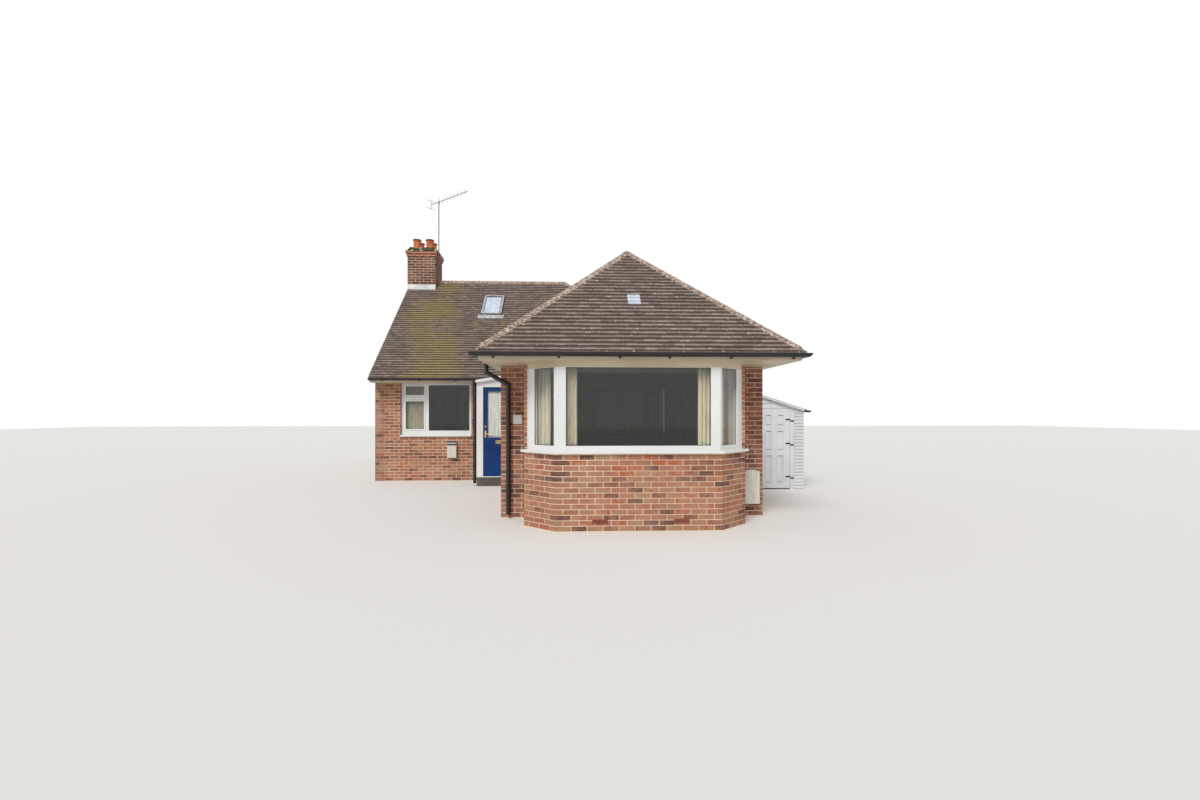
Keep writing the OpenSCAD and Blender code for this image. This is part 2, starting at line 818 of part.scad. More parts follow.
// Places of the outlets, in the gutters' centre lines
gutter_mid = gutter_r - 3;
pipe_set = pipe_gap + pipe_r;
front_pipe_y = y_front - pipe_set;
front_pipe_x = x_left + pipe_set + 1.6 * pipe_r;
rear_pipe_in = 300;
rear_pipe_x = x_right - rear_pipe_in;
porch_pipe_in = 60;
porch_pipe_y = -porch_d + porch_pipe_in;
outlet_len = 45;
pipe_foot = 60;
swan_drop = 90;
swan_fall = 190;
clip_h = 30;
clip_w = 40;
clip_places = [0.17, 0.6, 0.95];

// Short spigot under a gutter
module outlet(x, y, z, r) {
    translate([x, y, z - r - outlet_len]) difference() {
        cylinder(h = outlet_len + 3, r = pipe_r + 4);
        translate([0, 0, -1]) cylinder(h = outlet_len + 2, r = pipe_r - 2);
    }
}

// Gutters of the house, the porch and the lean-to
module gutters() {
    color(pipe_black) {
        union() {
            gutter_run([-fascia_x, fascia_front], 0, 2 * fascia_x, 1, 1, gutter_r, gutter_z);
            gutter_run([fascia_x, fascia_front], 90, fascia_rear - fascia_front, 1, 1,
                       gutter_r, gutter_z);
            gutter_run([fascia_x, fascia_rear], 180, fascia_x - x_party, 1, 0, gutter_r, gutter_z);
            gutter_run([-fascia_x, fascia_main], -90, fascia_main - fascia_front, -1, 1,
                       gutter_r, gutter_z);
            gutter_run([x_party, fascia_main], 0, -fascia_x - x_party, 0, -1, gutter_r, gutter_z);
            gutter_end([x_party, fascia_main], 0, gutter_r, gutter_z);
            gutter_end([x_party + gutter_t, fascia_rear], 180, gutter_r, gutter_z);
            outlet(-fascia_x - gutter_mid, front_pipe_y, gutter_z, gutter_r);
            outlet(rear_pipe_x, fascia_rear + gutter_mid, gutter_z, gutter_r);
        }
        porch_gutter();
        lean_gutter();
    }
}

// Low edges of the small roofs and their gutters
porch_x0 = x_left - porch_w;
porch_edge = porch_x0 - 12;
porch_high = -fascia_x - 2 * gutter_r - 13;
porch_rear = fascia_main - 2 * gutter_r;
porch_gutter_z = porch_low_z - porch_roof_t + 28;
lean_edge = x_right + lean_w + lean_over;
lean_edge_z = lean_high_z - lean_tan * (lean_w + lean_over);
lean_gutter_z = lean_edge_z - lean_roof_t + 28;
lean_rear = lean_d - lean_front;

module porch_gutter() {
    y0 = -porch_d - porch_over;
    length = porch_rear - y0;
    gutter_run([porch_edge, porch_rear], -90, length, 0, 0, small_gutter_r, porch_gutter_z);
    gutter_end([porch_edge, porch_rear], -90, small_gutter_r, porch_gutter_z);
    gutter_end([porch_edge, y0 + gutter_t], -90, small_gutter_r, porch_gutter_z);
    outlet(porch_edge - small_gutter_r + 3, porch_pipe_y, porch_gutter_z, small_gutter_r);
}

module lean_gutter() {
    y0 = -lean_front - lean_over;
    y1 = lean_rear + lean_over;
    gutter_run([lean_edge, y0], 90, y1 - y0, 0, 0, small_gutter_r, lean_gutter_z);
    gutter_end([lean_edge, y0], 90, small_gutter_r, lean_gutter_z);
    gutter_end([lean_edge, y1 - gutter_t], 90, small_gutter_r, lean_gutter_z);
}

// Clip that ties a pipe at a point to a wall in the given direction
module pipe_clip(x, y, z, heading, reach) {
    translate([x, y, z]) {
        cylinder(h = clip_h, r = pipe_r + 4);
        rotate([0, 0, heading]) translate([0, -clip_w / 2, clip_h / 6])
            cube([reach, clip_w, 2 * clip_h / 3]);
    }
}

// Pipe that leaves an outlet, slants back to the wall and runs down it
module swan_pipe(top, wall_point, heading) {
    bend_z = top[2] - swan_drop;
    low_z = bend_z - swan_fall;
    low = [wall_point[0], wall_point[1], low_z];
    high = [top[0], top[1], bend_z];
    rod(top, high, pipe_r);
    translate(high) sphere(pipe_r + 4);
    rod(high, low, pipe_r);
    translate(low) sphere(pipe_r + 4);
    rod(low, [low[0], low[1], pipe_foot], pipe_r);
    for (place = clip_places)
        pipe_clip(low[0], low[1], pipe_foot + place * (low_z - pipe_foot), heading, pipe_set);
}

module downpipes() {
    outlet_z = gutter_z - gutter_r - outlet_len;
    porch_pipe_x = porch_edge - small_gutter_r + 3;
    porch_pipe_z = porch_gutter_z - small_gutter_r - outlet_len;
    color(pipe_black) {
        swan_pipe([-fascia_x - gutter_mid, front_pipe_y, outlet_z],
                  [front_pipe_x, front_pipe_y], 90);
        swan_pipe([rear_pipe_x, fascia_rear + gutter_mid, outlet_z],
                  [rear_pipe_x, y_rear + pipe_set], -90);
        rod([porch_pipe_x, porch_pipe_y, pipe_foot],
            [porch_pipe_x, porch_pipe_y, porch_pipe_z], pipe_r);
        for (place = clip_places)
            pipe_clip(porch_pipe_x, porch_pipe_y, pipe_foot + place * (porch_pipe_z - pipe_foot),
                      0, porch_x0 - porch_pipe_x);
    }
}

// Places of the four pots
module pot_places() {
    middle = [x_party + stack_w / 2, ridge_y, oversail_top];
    for (dx = [-1, 1], dy = [-1, 1])
        translate(middle + [dx, dy, 0] * pot_pitch / 2) children();
}

// Outline of the sloped mortar on the stack, which starts inside the course under it
course_lap = 20;
flaunch_inset = 90;
module flaunching(low, high) {
    polygon([
        [low, oversail_top - course_lap], [high, oversail_top - course_lap], [high, oversail_top],
        [high - flaunch_inset, oversail_top + flaunch_h],
        [low + flaunch_inset, oversail_top + flaunch_h], [low, oversail_top]
    ]);
}

// Chimney breast from the floor, the stack and its oversailing courses
module chimney_stack() {
    low = x_party - oversail;
    wide = stack_w + 2 * oversail;
    color(brick_red) {
        block([x_party + party_t, stack_y0, floor_h], [stack_x, stack_y1, stack_seat + course_lap]);
        block([x_party, stack_y0, stack_seat], [stack_x, stack_y1, stack_top + course_lap]);
        block([x_party - oversail / 2, stack_y0 - oversail / 2, stack_top],
              [stack_x + oversail / 2, stack_y1 + oversail / 2, stack_top + oversail_h / 2 + course_lap]);
        block([low, stack_y0 - oversail, stack_top + oversail_h / 2],
              [low + wide, stack_y1 + oversail, oversail_top]);
    }
    color("#7c7a5c") difference() {
        intersection() {
            along_y(stack_y0 - oversail, stack_y1 + oversail) flaunching(low, low + wide);
            along_x(low, low + wide) flaunching(stack_y0 - oversail, stack_y1 + oversail);
        }
        pot_places() cylinder(h = flaunch_h + 1, r = pot_r);
    }
}

// Four round pots with rolled tops, open down to the brickwork
module chimney_pots() {
    bore = pot_r - 22;
    roll = 16;
    color("#b4552f") pot_places() rotate_extrude() polygon([
        [bore, 0], [pot_r, 0], [pot_r, flaunch_h], [pot_r - 8, flaunch_h + 6],
        [pot_r - 8, pot_h - 3 * roll], [pot_r + 6, pot_h - 2.5 * roll],
        [pot_r + roll, pot_h - 1.5 * roll], [pot_r + roll, pot_h - 0.5 * roll],
        [pot_r + 6, pot_h], [bore, pot_h]
    ]);
}

// Television aerial on a mast lashed to the stack
mast_out = 70;
mast_in = 100;
mast_foot = 280;
bracket_h = 40;
boom_r = 9;
reflector_w = 150;
reflector_h = 110;
module aerial() {
    mast_x = stack_x + mast_out;
    mast_y = stack_y0 + mast_in;
    foot_z = stack_top - mast_foot;
    top = [mast_x, mast_y, foot_z + mast_len];
    ahead = [0.76, -0.65, 0];
    tip = top + ahead * boom_len * 0.78;
    tail = top - ahead * boom_len * 0.22;
    across = [0.65, 0.76, 0];
    color("#4b4b4e") {
        rod([mast_x, mast_y, foot_z], top + [0, 0, 20], mast_r);
        for (z = [foot_z + 1.5 * bracket_h, oversail_top - 1.25 * bracket_h])
            block([stack_x + (z > stack_top ? oversail : 0), mast_y - bracket_h / 2, z],
                  [mast_x + mast_r / 2, mast_y + bracket_h / 2, z + bracket_h]);
        rod(tail, tip, boom_r);
        for (i = [0:7]) {
            middle = tail + (tip - tail) * (0.24 + 0.1 * i);
            rod(middle - [0, 0, 90], middle + [0, 0, 90], 4);
        }
        for (tilt = [-1, 1])
            rod(tail - across * reflector_w + [0, 0, reflector_h * tilt],
                tail + across * reflector_w + [0, 0, reflector_h * tilt], 5);
        rod(tail - [0, 0, 1.3 * reflector_h], tail + [0, 0, 1.3 * reflector_h], 5);
    }
}

// Distances from the recessed window's edges, mullion and transom to the glass
sash_side = 111;
sash_mullion = 113;
sash_transom = 78;
sash_foot = 140;
sash_head = 88;
fixed_foot = 101;
fixed_head = 57;

// Openings of the recessed window: left edge, bottom, right edge and top of each light
win_z0 = sill_z + sill_t;
win_lights = [
    [sash_side, transom_h + sash_transom, light_col_w - sash_mullion, wall_h - win_z0 - sash_head],
    [sash_side, sash_foot, light_col_w - sash_mullion, transom_h - sash_transom],
    [light_col_w, fixed_foot, front_win_w - frame_rail, wall_h - win_z0 - fixed_head]
];

// Lights of a plain two-light window
plain_lights = [
    [frame_rail, frame_rail, plain_win_w / 2 - frame_rail / 2, wall_h - win_z0 - frame_rail],
    [plain_win_w / 2 + frame_rail / 2, frame_rail, plain_win_w - frame_rail,
     wall_h - win_z0 - frame_rail]
];

// Window frame of the given width and lights. Its outer face is at local Y = 0.
module framed(w, h, lights) {
    difference() {
        cube([w, frame_t, h]);
        for (p = lights) block([p[0], -1, p[1]], [p[2], frame_t + 1, p[3]]);
    }
}

// Panes of such a window
module panes(lights) {
    for (p = lights)
        block([p[0], (frame_t - glass_t) / 2, p[1]], [p[2], (frame_t + glass_t) / 2, p[3]]);
}

// Places of the windows: the recessed one, two at the rear and one at the side
module at_recess() {
    translate([win_x0, frame_set, win_z0]) children();
}

module at_plain_windows() {
    translate([rear_a0 + plain_win_w, y_rear - frame_set, win_z0]) rotate([0, 0, 180]) children();
    translate([rear_b0 + plain_win_w, y_rear - frame_set, win_z0]) rotate([0, 0, 180]) children();
    translate([x_right - frame_set, side_y0, win_z0]) rotate([0, 0, 90]) children();
}

module window_frames() {
    color(upvc_white) {
        at_recess() framed(front_win_w, wall_h - win_z0, win_lights);
        at_plain_windows() framed(plain_win_w, wall_h - win_z0, plain_lights);
    }
}

module window_glass() {
    color(glass_blue, 0.4) {
        at_recess() panes(win_lights);
        at_plain_windows() panes(plain_lights);
        screen_panes();
    }
}

// Sill of the given width, from the wall's inner face to beyond its outer one
module sill(w) {
    translate([0, -frame_set - sill_over, -sill_t]) cube([w, wall_t + sill_over, sill_t]);
}

module window_sills() {
    color(upvc_white) {
        at_recess() sill(front_win_w);
        at_plain_windows() sill(plain_win_w);
    }
}

// Porch floor, carried through the hall doorway
module porch_floor() {
    color("#8c8378") linear_extrude(floor_h) polygon([
        [porch_x0, -porch_d], [x_left, -porch_d], [x_left, 0], [inner_x1, 0],
        [inner_x1, wall_t], [inner_x0, wall_t], [inner_x0, 0], [porch_x0, 0]
    ]);
}

// Height of the porch roof's underside at a place across it
function porch_under(x) = porch_low_z - porch_roof_t + porch_tan * (x - porch_edge);

// Front door's place in the porch front
door_hang_x = x_left - hinge_post - door_gap;
door_x0 = door_hang_x - door_w;
door_z0 = floor_h + threshold_h + door_gap;
door_z1 = door_z0 + door_h;
door_y1 = -porch_d + frame_t;
door_y0 = door_y1 - door_t;
knuckle_y = door_y1 + knuckle_r + 2;
knuckle_x = door_hang_x + door_gap / 2;
knuckle_h = 45;
leaf_t = 4;
hinge_zs = [for (place = [0.09, 0.475, 0.858]) door_z0 + place * door_h];

// White front of the porch with its doorway and its hinges' fixed halves
module porch_frame() {
    color(upvc_white) difference() {
        along_y(-porch_d, door_y1) polygon([
            [porch_x0, floor_h], [x_left, floor_h], [x_left, soffit_z], [porch_high, soffit_z],
            [porch_high, porch_under(porch_high) - hair],
            [porch_x0, porch_under(porch_x0) - hair]
        ]);
        block([door_x0 - door_gap, -porch_d - 1, floor_h + threshold_h],
              [door_hang_x + door_gap, door_y1 + 1, door_z1 + door_gap]);
    }
    color("silver") for (z = hinge_zs) {
        translate([knuckle_x, knuckle_y, z]) cylinder(h = knuckle_h - 1, r = knuckle_r);
        translate([knuckle_x, knuckle_y, z]) cylinder(h = 2 * knuckle_h, r = pin_r);
        block([door_hang_x + door_gap, door_y1, z],
              [x_left - hinge_post / 5, door_y1 + leaf_t, z + knuckle_h - 1]);
    }
}

// Lights of the glazed side of the porch: front, bottom, back and top of each
screen_len = porch_d - frame_t;
screen_mid = screen_len / 2;
screen_low = 800;
screen_high = 2020;
screen_half = frame_rail / 2;
screen_lights = [
    [frame_rail, frame_rail, screen_mid - screen_half, screen_low],
    [screen_mid + screen_half, frame_rail, screen_len - frame_rail, screen_low],
    [frame_rail, screen_low + frame_rail, screen_mid - screen_half, screen_high],
    [screen_mid + screen_half, screen_low + frame_rail, screen_len - frame_rail, screen_high]
];

// Glazed left side of the porch
module porch_screen() {
    color(upvc_white) difference() {
        along_x(porch_x0, porch_x0 + frame_t) polygon([
            [door_y1, floor_h], [0, floor_h], [0, soffit_z],
            [porch_rear, soffit_z], [porch_rear, soffit_z + 20], [door_y1, soffit_z + 20]
        ]);
        along_y(-2 * porch_d, porch_rear) polygon([
            [porch_edge, porch_under(porch_edge) - hair], [0, porch_under(0) - hair],
            [0, main_top], [porch_edge, main_top]
        ]);
        for (p = screen_lights)
            block([porch_x0 - 1, door_y1 + p[0], floor_h + p[1]],
                  [porch_x0 + frame_t + 1, door_y1 + p[2], floor_h + p[3]]);
    }
}

module screen_panes() {
    x0 = porch_x0 + (frame_t - glass_t) / 2;
    for (p = screen_lights)
        block([x0, door_y1 + p[0], floor_h + p[1]], [x0 + glass_t, door_y1 + p[2], floor_h + p[3]]);
}

// Flat sloping roof of the porch
module porch_roof() {
    color(upvc_white) along_y(-porch_d - porch_over, porch_rear) polygon([
        [porch_edge, porch_under(porch_edge)], [porch_high, porch_under(porch_high)],
        [porch_high, porch_under(porch_high) + porch_roof_t],
        [porch_edge, porch_under(porch_edge) + porch_roof_t]
    ]);
}

// Blue front door with the opening for its glass
door_glass = [door_x0 + door_rail, door_z0 + door_glass_z, door_hang_x - door_rail,
              door_z1 - door_rail + 8];
module front_door() {
    color("#0a3c8c") difference() {
        block([door_x0, door_y0, door_z0], [door_hang_x, door_y1, door_z1]);
        block([door_glass[0], door_y0 - 1, door_glass[1]], [door_glass[2], door_y1 + 1, door_glass[3]]);
    }
}

// Glass of the front door
module front_door_glass() {
    color(glass_blue, 0.4)
        block([door_glass[0], door_y0 + 10, door_glass[1]],
              [door_glass[2], door_y1 - 10, door_glass[3]]);
}

// Handle, lock, letter plate and moving hinge halves of the front door
lever_x = door_x0 + 0.54 * door_rail;
lever_z = door_z0 + 0.4745 * door_h;
lever_w = 36;
lever_plate = 160;
lever_len = 100;
lever_out = 36;
lever_r = 9;
lock_up = 165;
lock_r = 22;
plate_t = 6;
letter_w = 300;
letter_h = 80;
letter_z = door_z0 + 0.3635 * door_h;
hinge_leaf = 35;
module front_door_fittings() {
    plate_x = (door_x0 + door_hang_x) / 2;
    color("#c9a24a") {
        for (side = [-1, 1]) {
            face = side < 0 ? door_y0 : door_y1;
            translate([0, face, 0]) mirror([0, side > 0 ? 1 : 0, 0]) {
                block([lever_x - lever_w / 2, -plate_t, lever_z - lever_plate / 2],
                      [lever_x + lever_w / 2, 0, lever_z + lever_plate / 2]);
                rod([lever_x, 0, lever_z], [lever_x, -lever_out - 4, lever_z], lever_r);
                rod([lever_x - lever_r, -lever_out, lever_z],
                    [lever_x + lever_len, -lever_out, lever_z], lever_r);
                rod([lever_x, 0, lever_z + lock_up], [lever_x, -2.4 * plate_t, lever_z + lock_up],
                    lock_r);
            }
        }
        block([plate_x - letter_w / 2, door_y0 - plate_t, letter_z],
              [plate_x + letter_w / 2, door_y0, letter_z + letter_h]);
    }
    color("silver") for (z = hinge_zs) {
        translate([knuckle_x, knuckle_y, z + knuckle_h]) difference() {
            union() {
                cylinder(h = knuckle_h, r = knuckle_r);
                block([door_hang_x - knuckle_x - hinge_leaf, door_y1 - knuckle_y, 0],
                      [0, door_y1 - knuckle_y + leaf_t, knuckle_h]);
            }
            translate([0, 0, -1]) cylinder(h = knuckle_h + 2, r = pin_r + pin_gap);
        }
    }
}

// Height of the lean-to roof's underside at a place across it
function lean_under(x) = lean_high_z - lean_roof_t - lean_tan * (x - x_right);

// Side door's place in the lean-to's front
lean_x1 = x_right + lean_w;
side_hang_x = lean_x1 - side_door_x - door_gap;
side_x0 = side_hang_x - side_door_w;
side_y = -lean_front;
side_knuckle_x = side_hang_x + door_gap / 2;
side_knuckle_y = side_y - knuckle_r - 2;
side_door_h = side_door_top - side_door_foot;
side_hinge_zs = [for (place = [0.118, 0.535, 0.835]) side_door_foot + place * side_door_h];
side_knuckle_h = 30;
side_leaf = 90;

// Boarded front of the lean-to with its doorway and its hinges' fixed halves
module lean_to_front() {
    color(upvc_white) difference() {
        along_y(side_y, side_y + lean_t) polygon([
            [x_right, 0], [lean_x1, 0], [lean_x1, lean_under(lean_x1)], [x_right, lean_under(x_right)]
        ]);
        block([side_x0 - door_gap, side_y - 1, -1],
              [side_hang_x + door_gap, side_y + lean_t + 1, side_door_top + door_gap]);
    }
    color(pipe_black) for (z = side_hinge_zs) {
        translate([side_knuckle_x, side_knuckle_y, z]) cylinder(h = side_knuckle_h, r = knuckle_r);
        translate([side_knuckle_x, side_knuckle_y, z]) cylinder(h = 2 * side_knuckle_h, r = pin_r);
        block([side_hang_x + door_gap, side_y - leaf_t, z],
              [side_hang_x + side_leaf, side_y, z + side_knuckle_h]);
    }
}

// Boarded side and rear of the lean-to
module lean_to_walls() {
    color(upvc_white) {
        along_y(side_y + lean_t, lean_rear) polygon([
            [lean_x1 - lean_t, 0], [lean_x1, 0],
            [lean_x1, lean_under(lean_x1)], [lean_x1 - lean_t, lean_under(lean_x1 - lean_t)]
        ]);
        along_y(lean_rear - lean_t, lean_rear) polygon([
            [x_right, 0], [lean_x1 - lean_t, 0],
            [lean_x1 - lean_t, lean_under(lean_x1 - lean_t)], [x_right, lean_under(x_right)]
        ]);
    }
}

// Sloping roof of the lean-to
module lean_to_roof() {
    color("#5c5a58") along_y(side_y - lean_over, lean_rear + lean_over) polygon([
        [x_right, lean_under(x_right)], [lean_edge, lean_under(lean_edge)],
        [lean_edge, lean_under(lean_edge) + lean_roof_t], [x_right, lean_high_z]
    ]);
}

// Six-panel side door
side_panel_w = 150;
side_stile = 127;
panel_rows = [for (row = [[0.08, 0.42], [0.487, 0.728], [0.8, 0.93]])
    [side_door_foot + row[0] * side_door_h, side_door_foot + row[1] * side_door_h]];
module side_door() {
    color(upvc_white) difference() {
        block([side_x0, side_y, side_door_foot], [side_hang_x, side_y + side_door_t, side_door_top]);
        for (row = panel_rows, x = [side_x0 + side_stile, side_hang_x - side_stile - side_panel_w])
            block([x, side_y - 1, row[0]], [x + side_panel_w, side_y + 8, row[1]]);
    }
}

// Black moving halves of the side door's hinges and its handle
knob_out = 30;
knob_r = 20;
module side_door_hinges() {
    color(pipe_black) {
        for (z = side_hinge_zs)
            translate([side_knuckle_x, side_knuckle_y, z + side_knuckle_h + 1]) difference() {
                union() {
                    cylinder(h = side_knuckle_h - 1, r = knuckle_r);
                    block([side_hang_x - side_knuckle_x - side_leaf, side_y - side_knuckle_y - leaf_t, 0],
                          [0, side_y - side_knuckle_y, side_knuckle_h - 1]);
                }
                translate([0, 0, -1]) cylinder(h = side_knuckle_h + 1, r = pin_r + pin_gap);
            }
        translate([side_x0 + side_stile / 3, side_y, side_door_foot + 0.57 * side_door_h]) {
            rotate([90, 0, 0]) cylinder(h = knob_out, r = 9);
            translate([0, -knob_out, 0]) sphere(knob_r);
        }
    }
}

// Back door with its frame, closed and fixed
module back_door() {
    color(upvc_white) translate([rear_door0 + back_door_w, y_rear - frame_set, floor_h])
        rotate([0, 0, 180]) difference() {
            cube([back_door_w, frame_t, wall_h - floor_h]);
            block([frame_rail, -1, frame_rail],
                  [back_door_w - frame_rail, 12, wall_h - floor_h - 2 * frame_rail]);
        }
}

// Straight piece inside each plain window, from one height to another
curtain_t = 40;
rail_h = 25;
rail_in = 30;
rail_side = 130;
module inside_plain_windows(side, low, high) {
    inner = wall_t - frame_set + rail_in;
    at_plain_windows() block([-side, inner, low - win_z0],
                             [plain_win_w + side, inner + curtain_t, high - win_z0]);
}

// Tracks that carry the curtains of the bay and of the plain windows
curtain_in = 150;
module curtain_track() {
    color(upvc_white) {
        translate([0, 0, soffit_z - rail_h]) linear_extrude(rail_h)
            polygon(concat(bay_band(curtain_in), turned(bay_band(curtain_in + curtain_t))));
        inside_plain_windows(rail_side, wall_h - rail_h, wall_h);
    }
}

// Curtains drawn back at the ends of the bay and across the plain windows
curtain_w = 240;
curtain_side = 100;
module curtains() {
    z0 = bay_foot_z + 10;
    z1 = soffit_z - rail_h - little;
    front = bay_outline(curtain_in);
    back = bay_outline(curtain_in + curtain_t);
    color("#b8b088") both_bay_sides() {
        block([front[3][0] - curtain_w, front[3][1], z0],
              [back[3][0] - little, back[3][1], z1]);
        translate([0, 0, z0]) linear_extrude(z1 - z0) polygon([
            [front[3][0] + little, front[3][1] + little], front[4],
            back[4], [back[3][0] + little, back[3][1] + little]
        ]);
    }
    color("#b8b088") inside_plain_windows(curtain_side, sill_z - curtain_side, wall_h - rail_h - little);
}

// Plain cabinet with a domed top on the wing's front, and a small one by the recess
meter = [234, 120, 529];
meter_z = 208;
meter_in = 80;
meter_dome = 300;
small_meter = [214, 100, 397];
small_meter_x = win_x0 + 1130;
small_meter_z = 560;
module meter_boxes() {
    meter_x = x_right - meter_in - meter[0];
    color("#e4e2d8") {
        along_y(y_front - meter[1], y_front) intersection() {
            translate([meter_x, meter_z]) square([meter[0], meter[2]]);
            translate([meter_x + meter[0] / 2, meter_z + meter[2] - meter_dome]) circle(meter_dome);
        }
        translate([small_meter_x, -small_meter[1], small_meter_z]) cube(small_meter);
    }
}

// Bare plaque on the pier left of the bay
plaque_w = 140;
plaque_z = 1457;
plaque_t = 8;
module plaque() {
    pier_w = bay_outline(0)[0][0] - x_left;
    color("#f2f2ee") translate([x_left + 0.61 * pier_w - plaque_w / 2, y_front - plaque_t, plaque_z])
        cube([plaque_w, plaque_t, plaque_w]);
}

// Ventilation bricks low in the bay
airbrick = [215, 6, 65];
airbrick_z = 105;
module airbricks() {
    color("#8a4a36") for (place = [-0.2344, 0.2559])
        translate([bay_x + place * bay_front_w - airbrick[0] / 2, bay_y - airbrick[1], airbrick_z])
            cube(airbrick);
}

floor_slab();
party_wall();
rear_wall();
right_wall();
wing_left_wall();
wing_front_wall();
bay_beam();
recess_wall();
recess_pier();
doorway_lintel();
bay_plinth();
bay_cheeks();
bay_sill();
bay_frame();
bay_glass();
ceiling();
soffit();
fascia();
roof_wing_front();
roof_wing_left();
roof_right();
roof_main_front();
roof_main_rear();
hip_tiles();
ridge_tiles();
glass_tiles();
rooflight_frame();
rooflight_glass();
lead_flashing();
gutters();
downpipes();
chimney_stack();
chimney_pots();
aerial();
window_frames();
window_glass();
window_sills();
porch_floor();
porch_frame();
porch_screen();
porch_roof();
front_door();
front_door_glass();
front_door_fittings();
lean_to_front();
lean_to_walls();
lean_to_roof();
side_door();
side_door_hinges();
back_door();
curtain_track();
curtains();
meter_boxes();
plaque();
airbricks();
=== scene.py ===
# %% [markdown]
# # A brick bungalow, dressed
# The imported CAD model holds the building's shape: walls, roof slopes, windows and doors.
# What it leaves out are the thousands of small things that a builder lays by hand, such
# as bricks and roof tiles, and the finish of every surface. This lesson adds both. The
# CAD pieces are never moved. A new piece is laid on them, or stands in for one of them.

# %% Load the frame
import math
from random import Random

import bmesh
import bpy
from mathutils import Matrix, Vector


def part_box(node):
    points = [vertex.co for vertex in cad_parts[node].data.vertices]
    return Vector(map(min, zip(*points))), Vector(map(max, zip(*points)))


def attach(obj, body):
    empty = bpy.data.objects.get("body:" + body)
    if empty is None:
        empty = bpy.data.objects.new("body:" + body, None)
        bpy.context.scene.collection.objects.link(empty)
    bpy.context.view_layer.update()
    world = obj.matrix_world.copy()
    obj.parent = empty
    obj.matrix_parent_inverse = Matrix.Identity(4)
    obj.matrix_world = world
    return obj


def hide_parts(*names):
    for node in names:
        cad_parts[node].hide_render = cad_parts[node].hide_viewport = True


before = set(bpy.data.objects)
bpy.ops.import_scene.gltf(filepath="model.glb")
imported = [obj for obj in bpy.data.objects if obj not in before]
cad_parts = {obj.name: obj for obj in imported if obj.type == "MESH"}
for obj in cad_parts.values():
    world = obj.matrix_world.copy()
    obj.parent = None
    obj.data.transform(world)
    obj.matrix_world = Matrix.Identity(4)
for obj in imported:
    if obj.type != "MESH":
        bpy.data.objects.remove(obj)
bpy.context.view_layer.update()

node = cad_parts
scene = bpy.context.scene
print("CAD nodes:", len(node))

# %% [markdown]
# ## Camera
# A camera held level at eye height keeps upright edges upright, as in most pictures of
# houses. Looking level, it would show too much ground, so the picture is shifted up a
# little on the sensor instead of tilting the camera.

# %% Set the camera
camera = bpy.data.objects.new("camera", bpy.data.cameras.new("camera"))
scene.collection.objects.link(camera)
camera.location = (-0.909, -13.78, 1.616)
camera.rotation_euler = (math.radians(90), 0, math.radians(-2.53))
camera.data.sensor_width = 36
camera.data.lens = 16.95
camera.data.shift_y = 0.0114
scene.camera = camera
scene.view_settings.view_transform = "Standard"
print("Camera at", tuple(camera.location))

# %% [markdown]
# ## Small helpers
# Colours are written as the hex codes that a paint chart would give. Blender works in
# linear light, so one function turns a code into linear numbers. Another one adds a
# node: settings are named, an input gets a number or another node's output.
#
# Most real surfaces are blotched, because dirt and wear come in patches, and they are a
# little rough. A noise gives both: a ramp turns it into colours, and a bump node turns it
# into height. That is quicker than painting, and goes on round every corner.

# %% Colours and nodes
def linear(code):
    """Linear RGBA of an sRGB hex code."""
    parts = [int(code[i:i + 2], 16) / 255 for i in (1, 3, 5)]
    lit = [p / 12.92 if p <= 0.04045 else ((p + 0.055) / 1.055) ** 2.4 for p in parts]
    return (*lit, 1)


def add(tree, kind, inputs=None, stops=None, **settings):
    """A node with its settings, its inputs as values or links, and a ramp's colour stops."""
    made = tree.nodes.new(kind)
    for name, value in settings.items():
        setattr(made, name, value)
    for key, value in (inputs or {}).items():
        if isinstance(value, bpy.types.NodeSocket):
            tree.links.new(value, made.inputs[key])
        else:
            made.inputs[key].default_value = value
    for i, (place, code) in enumerate(stops or []):
        ramp = made.color_ramp.elements
        stop = ramp[i] if i < 2 else ramp.new(place)
        stop.position, stop.color = place, linear(code)
    return made


def material(name, roughness, **values):
    """A new material: itself, its tree, its shader and its Object coordinates."""
    made = bpy.data.materials.new(name)
    made.use_nodes = True
    tree = made.node_tree
    shader = tree.nodes["Principled BSDF"]
    shader.inputs["Roughness"].default_value = roughness
    for key, value in values.items():
        shader.inputs[key.replace("_", " ")].default_value = value
    where = add(tree, "ShaderNodeTexCoord").outputs["Object"]
    return made, tree, shader, where


def blotched(tree, where, scale, stops, **noise):
    """A noise of so many blotches to the metre, and the colours that a ramp gives it."""
    wear = add(tree, "ShaderNodeTexNoise", {"Vector": where, "Scale": scale, **noise})
    tone = add(tree, "ShaderNodeValToRGB", {"Fac": wear.outputs["Fac"]}, stops)
    return wear.outputs["Fac"], tone.outputs["Color"]


def overlaid(tree, below, code, share, low, high, most):
    """A colour over the one below, from nothing at low to its strongest at high."""
    strength = add(tree, "ShaderNodeMapRange", {"Value": share, "From Min": low,
                                                "From Max": high, "To Max": most})
    return add(tree, "ShaderNodeMix", {0: strength.outputs["Result"], 6: below, 7: linear(code)},
               data_type="RGBA").outputs[2]


def dress(tree, shader, colour, height=None, strength=0.0, depth=0.001):
    """Links a base colour and, where a height is given, bumps of that depth in metres."""
    tree.links.new(colour, shader.inputs["Base Color"])
    if height is not None:
        bump = add(tree, "ShaderNodeBump", {"Height": height, "Strength": strength,
                                            "Distance": depth})
        tree.links.new(bump.outputs["Normal"], shader.inputs["Normal"])


print("Mid grey in linear light:", round(linear("#808080")[0], 3))

# %% [markdown]
# ## Masonry
# A facing brick is pressed clay, fired until parts of it turn from orange to plum. No
# two come out alike, so each brick carries a random number, its tint, and one colour
# ramp turns tints into the kiln's range. A ramp on an attribute was chosen over a noise
# texture, because the colour then changes exactly at the joints.

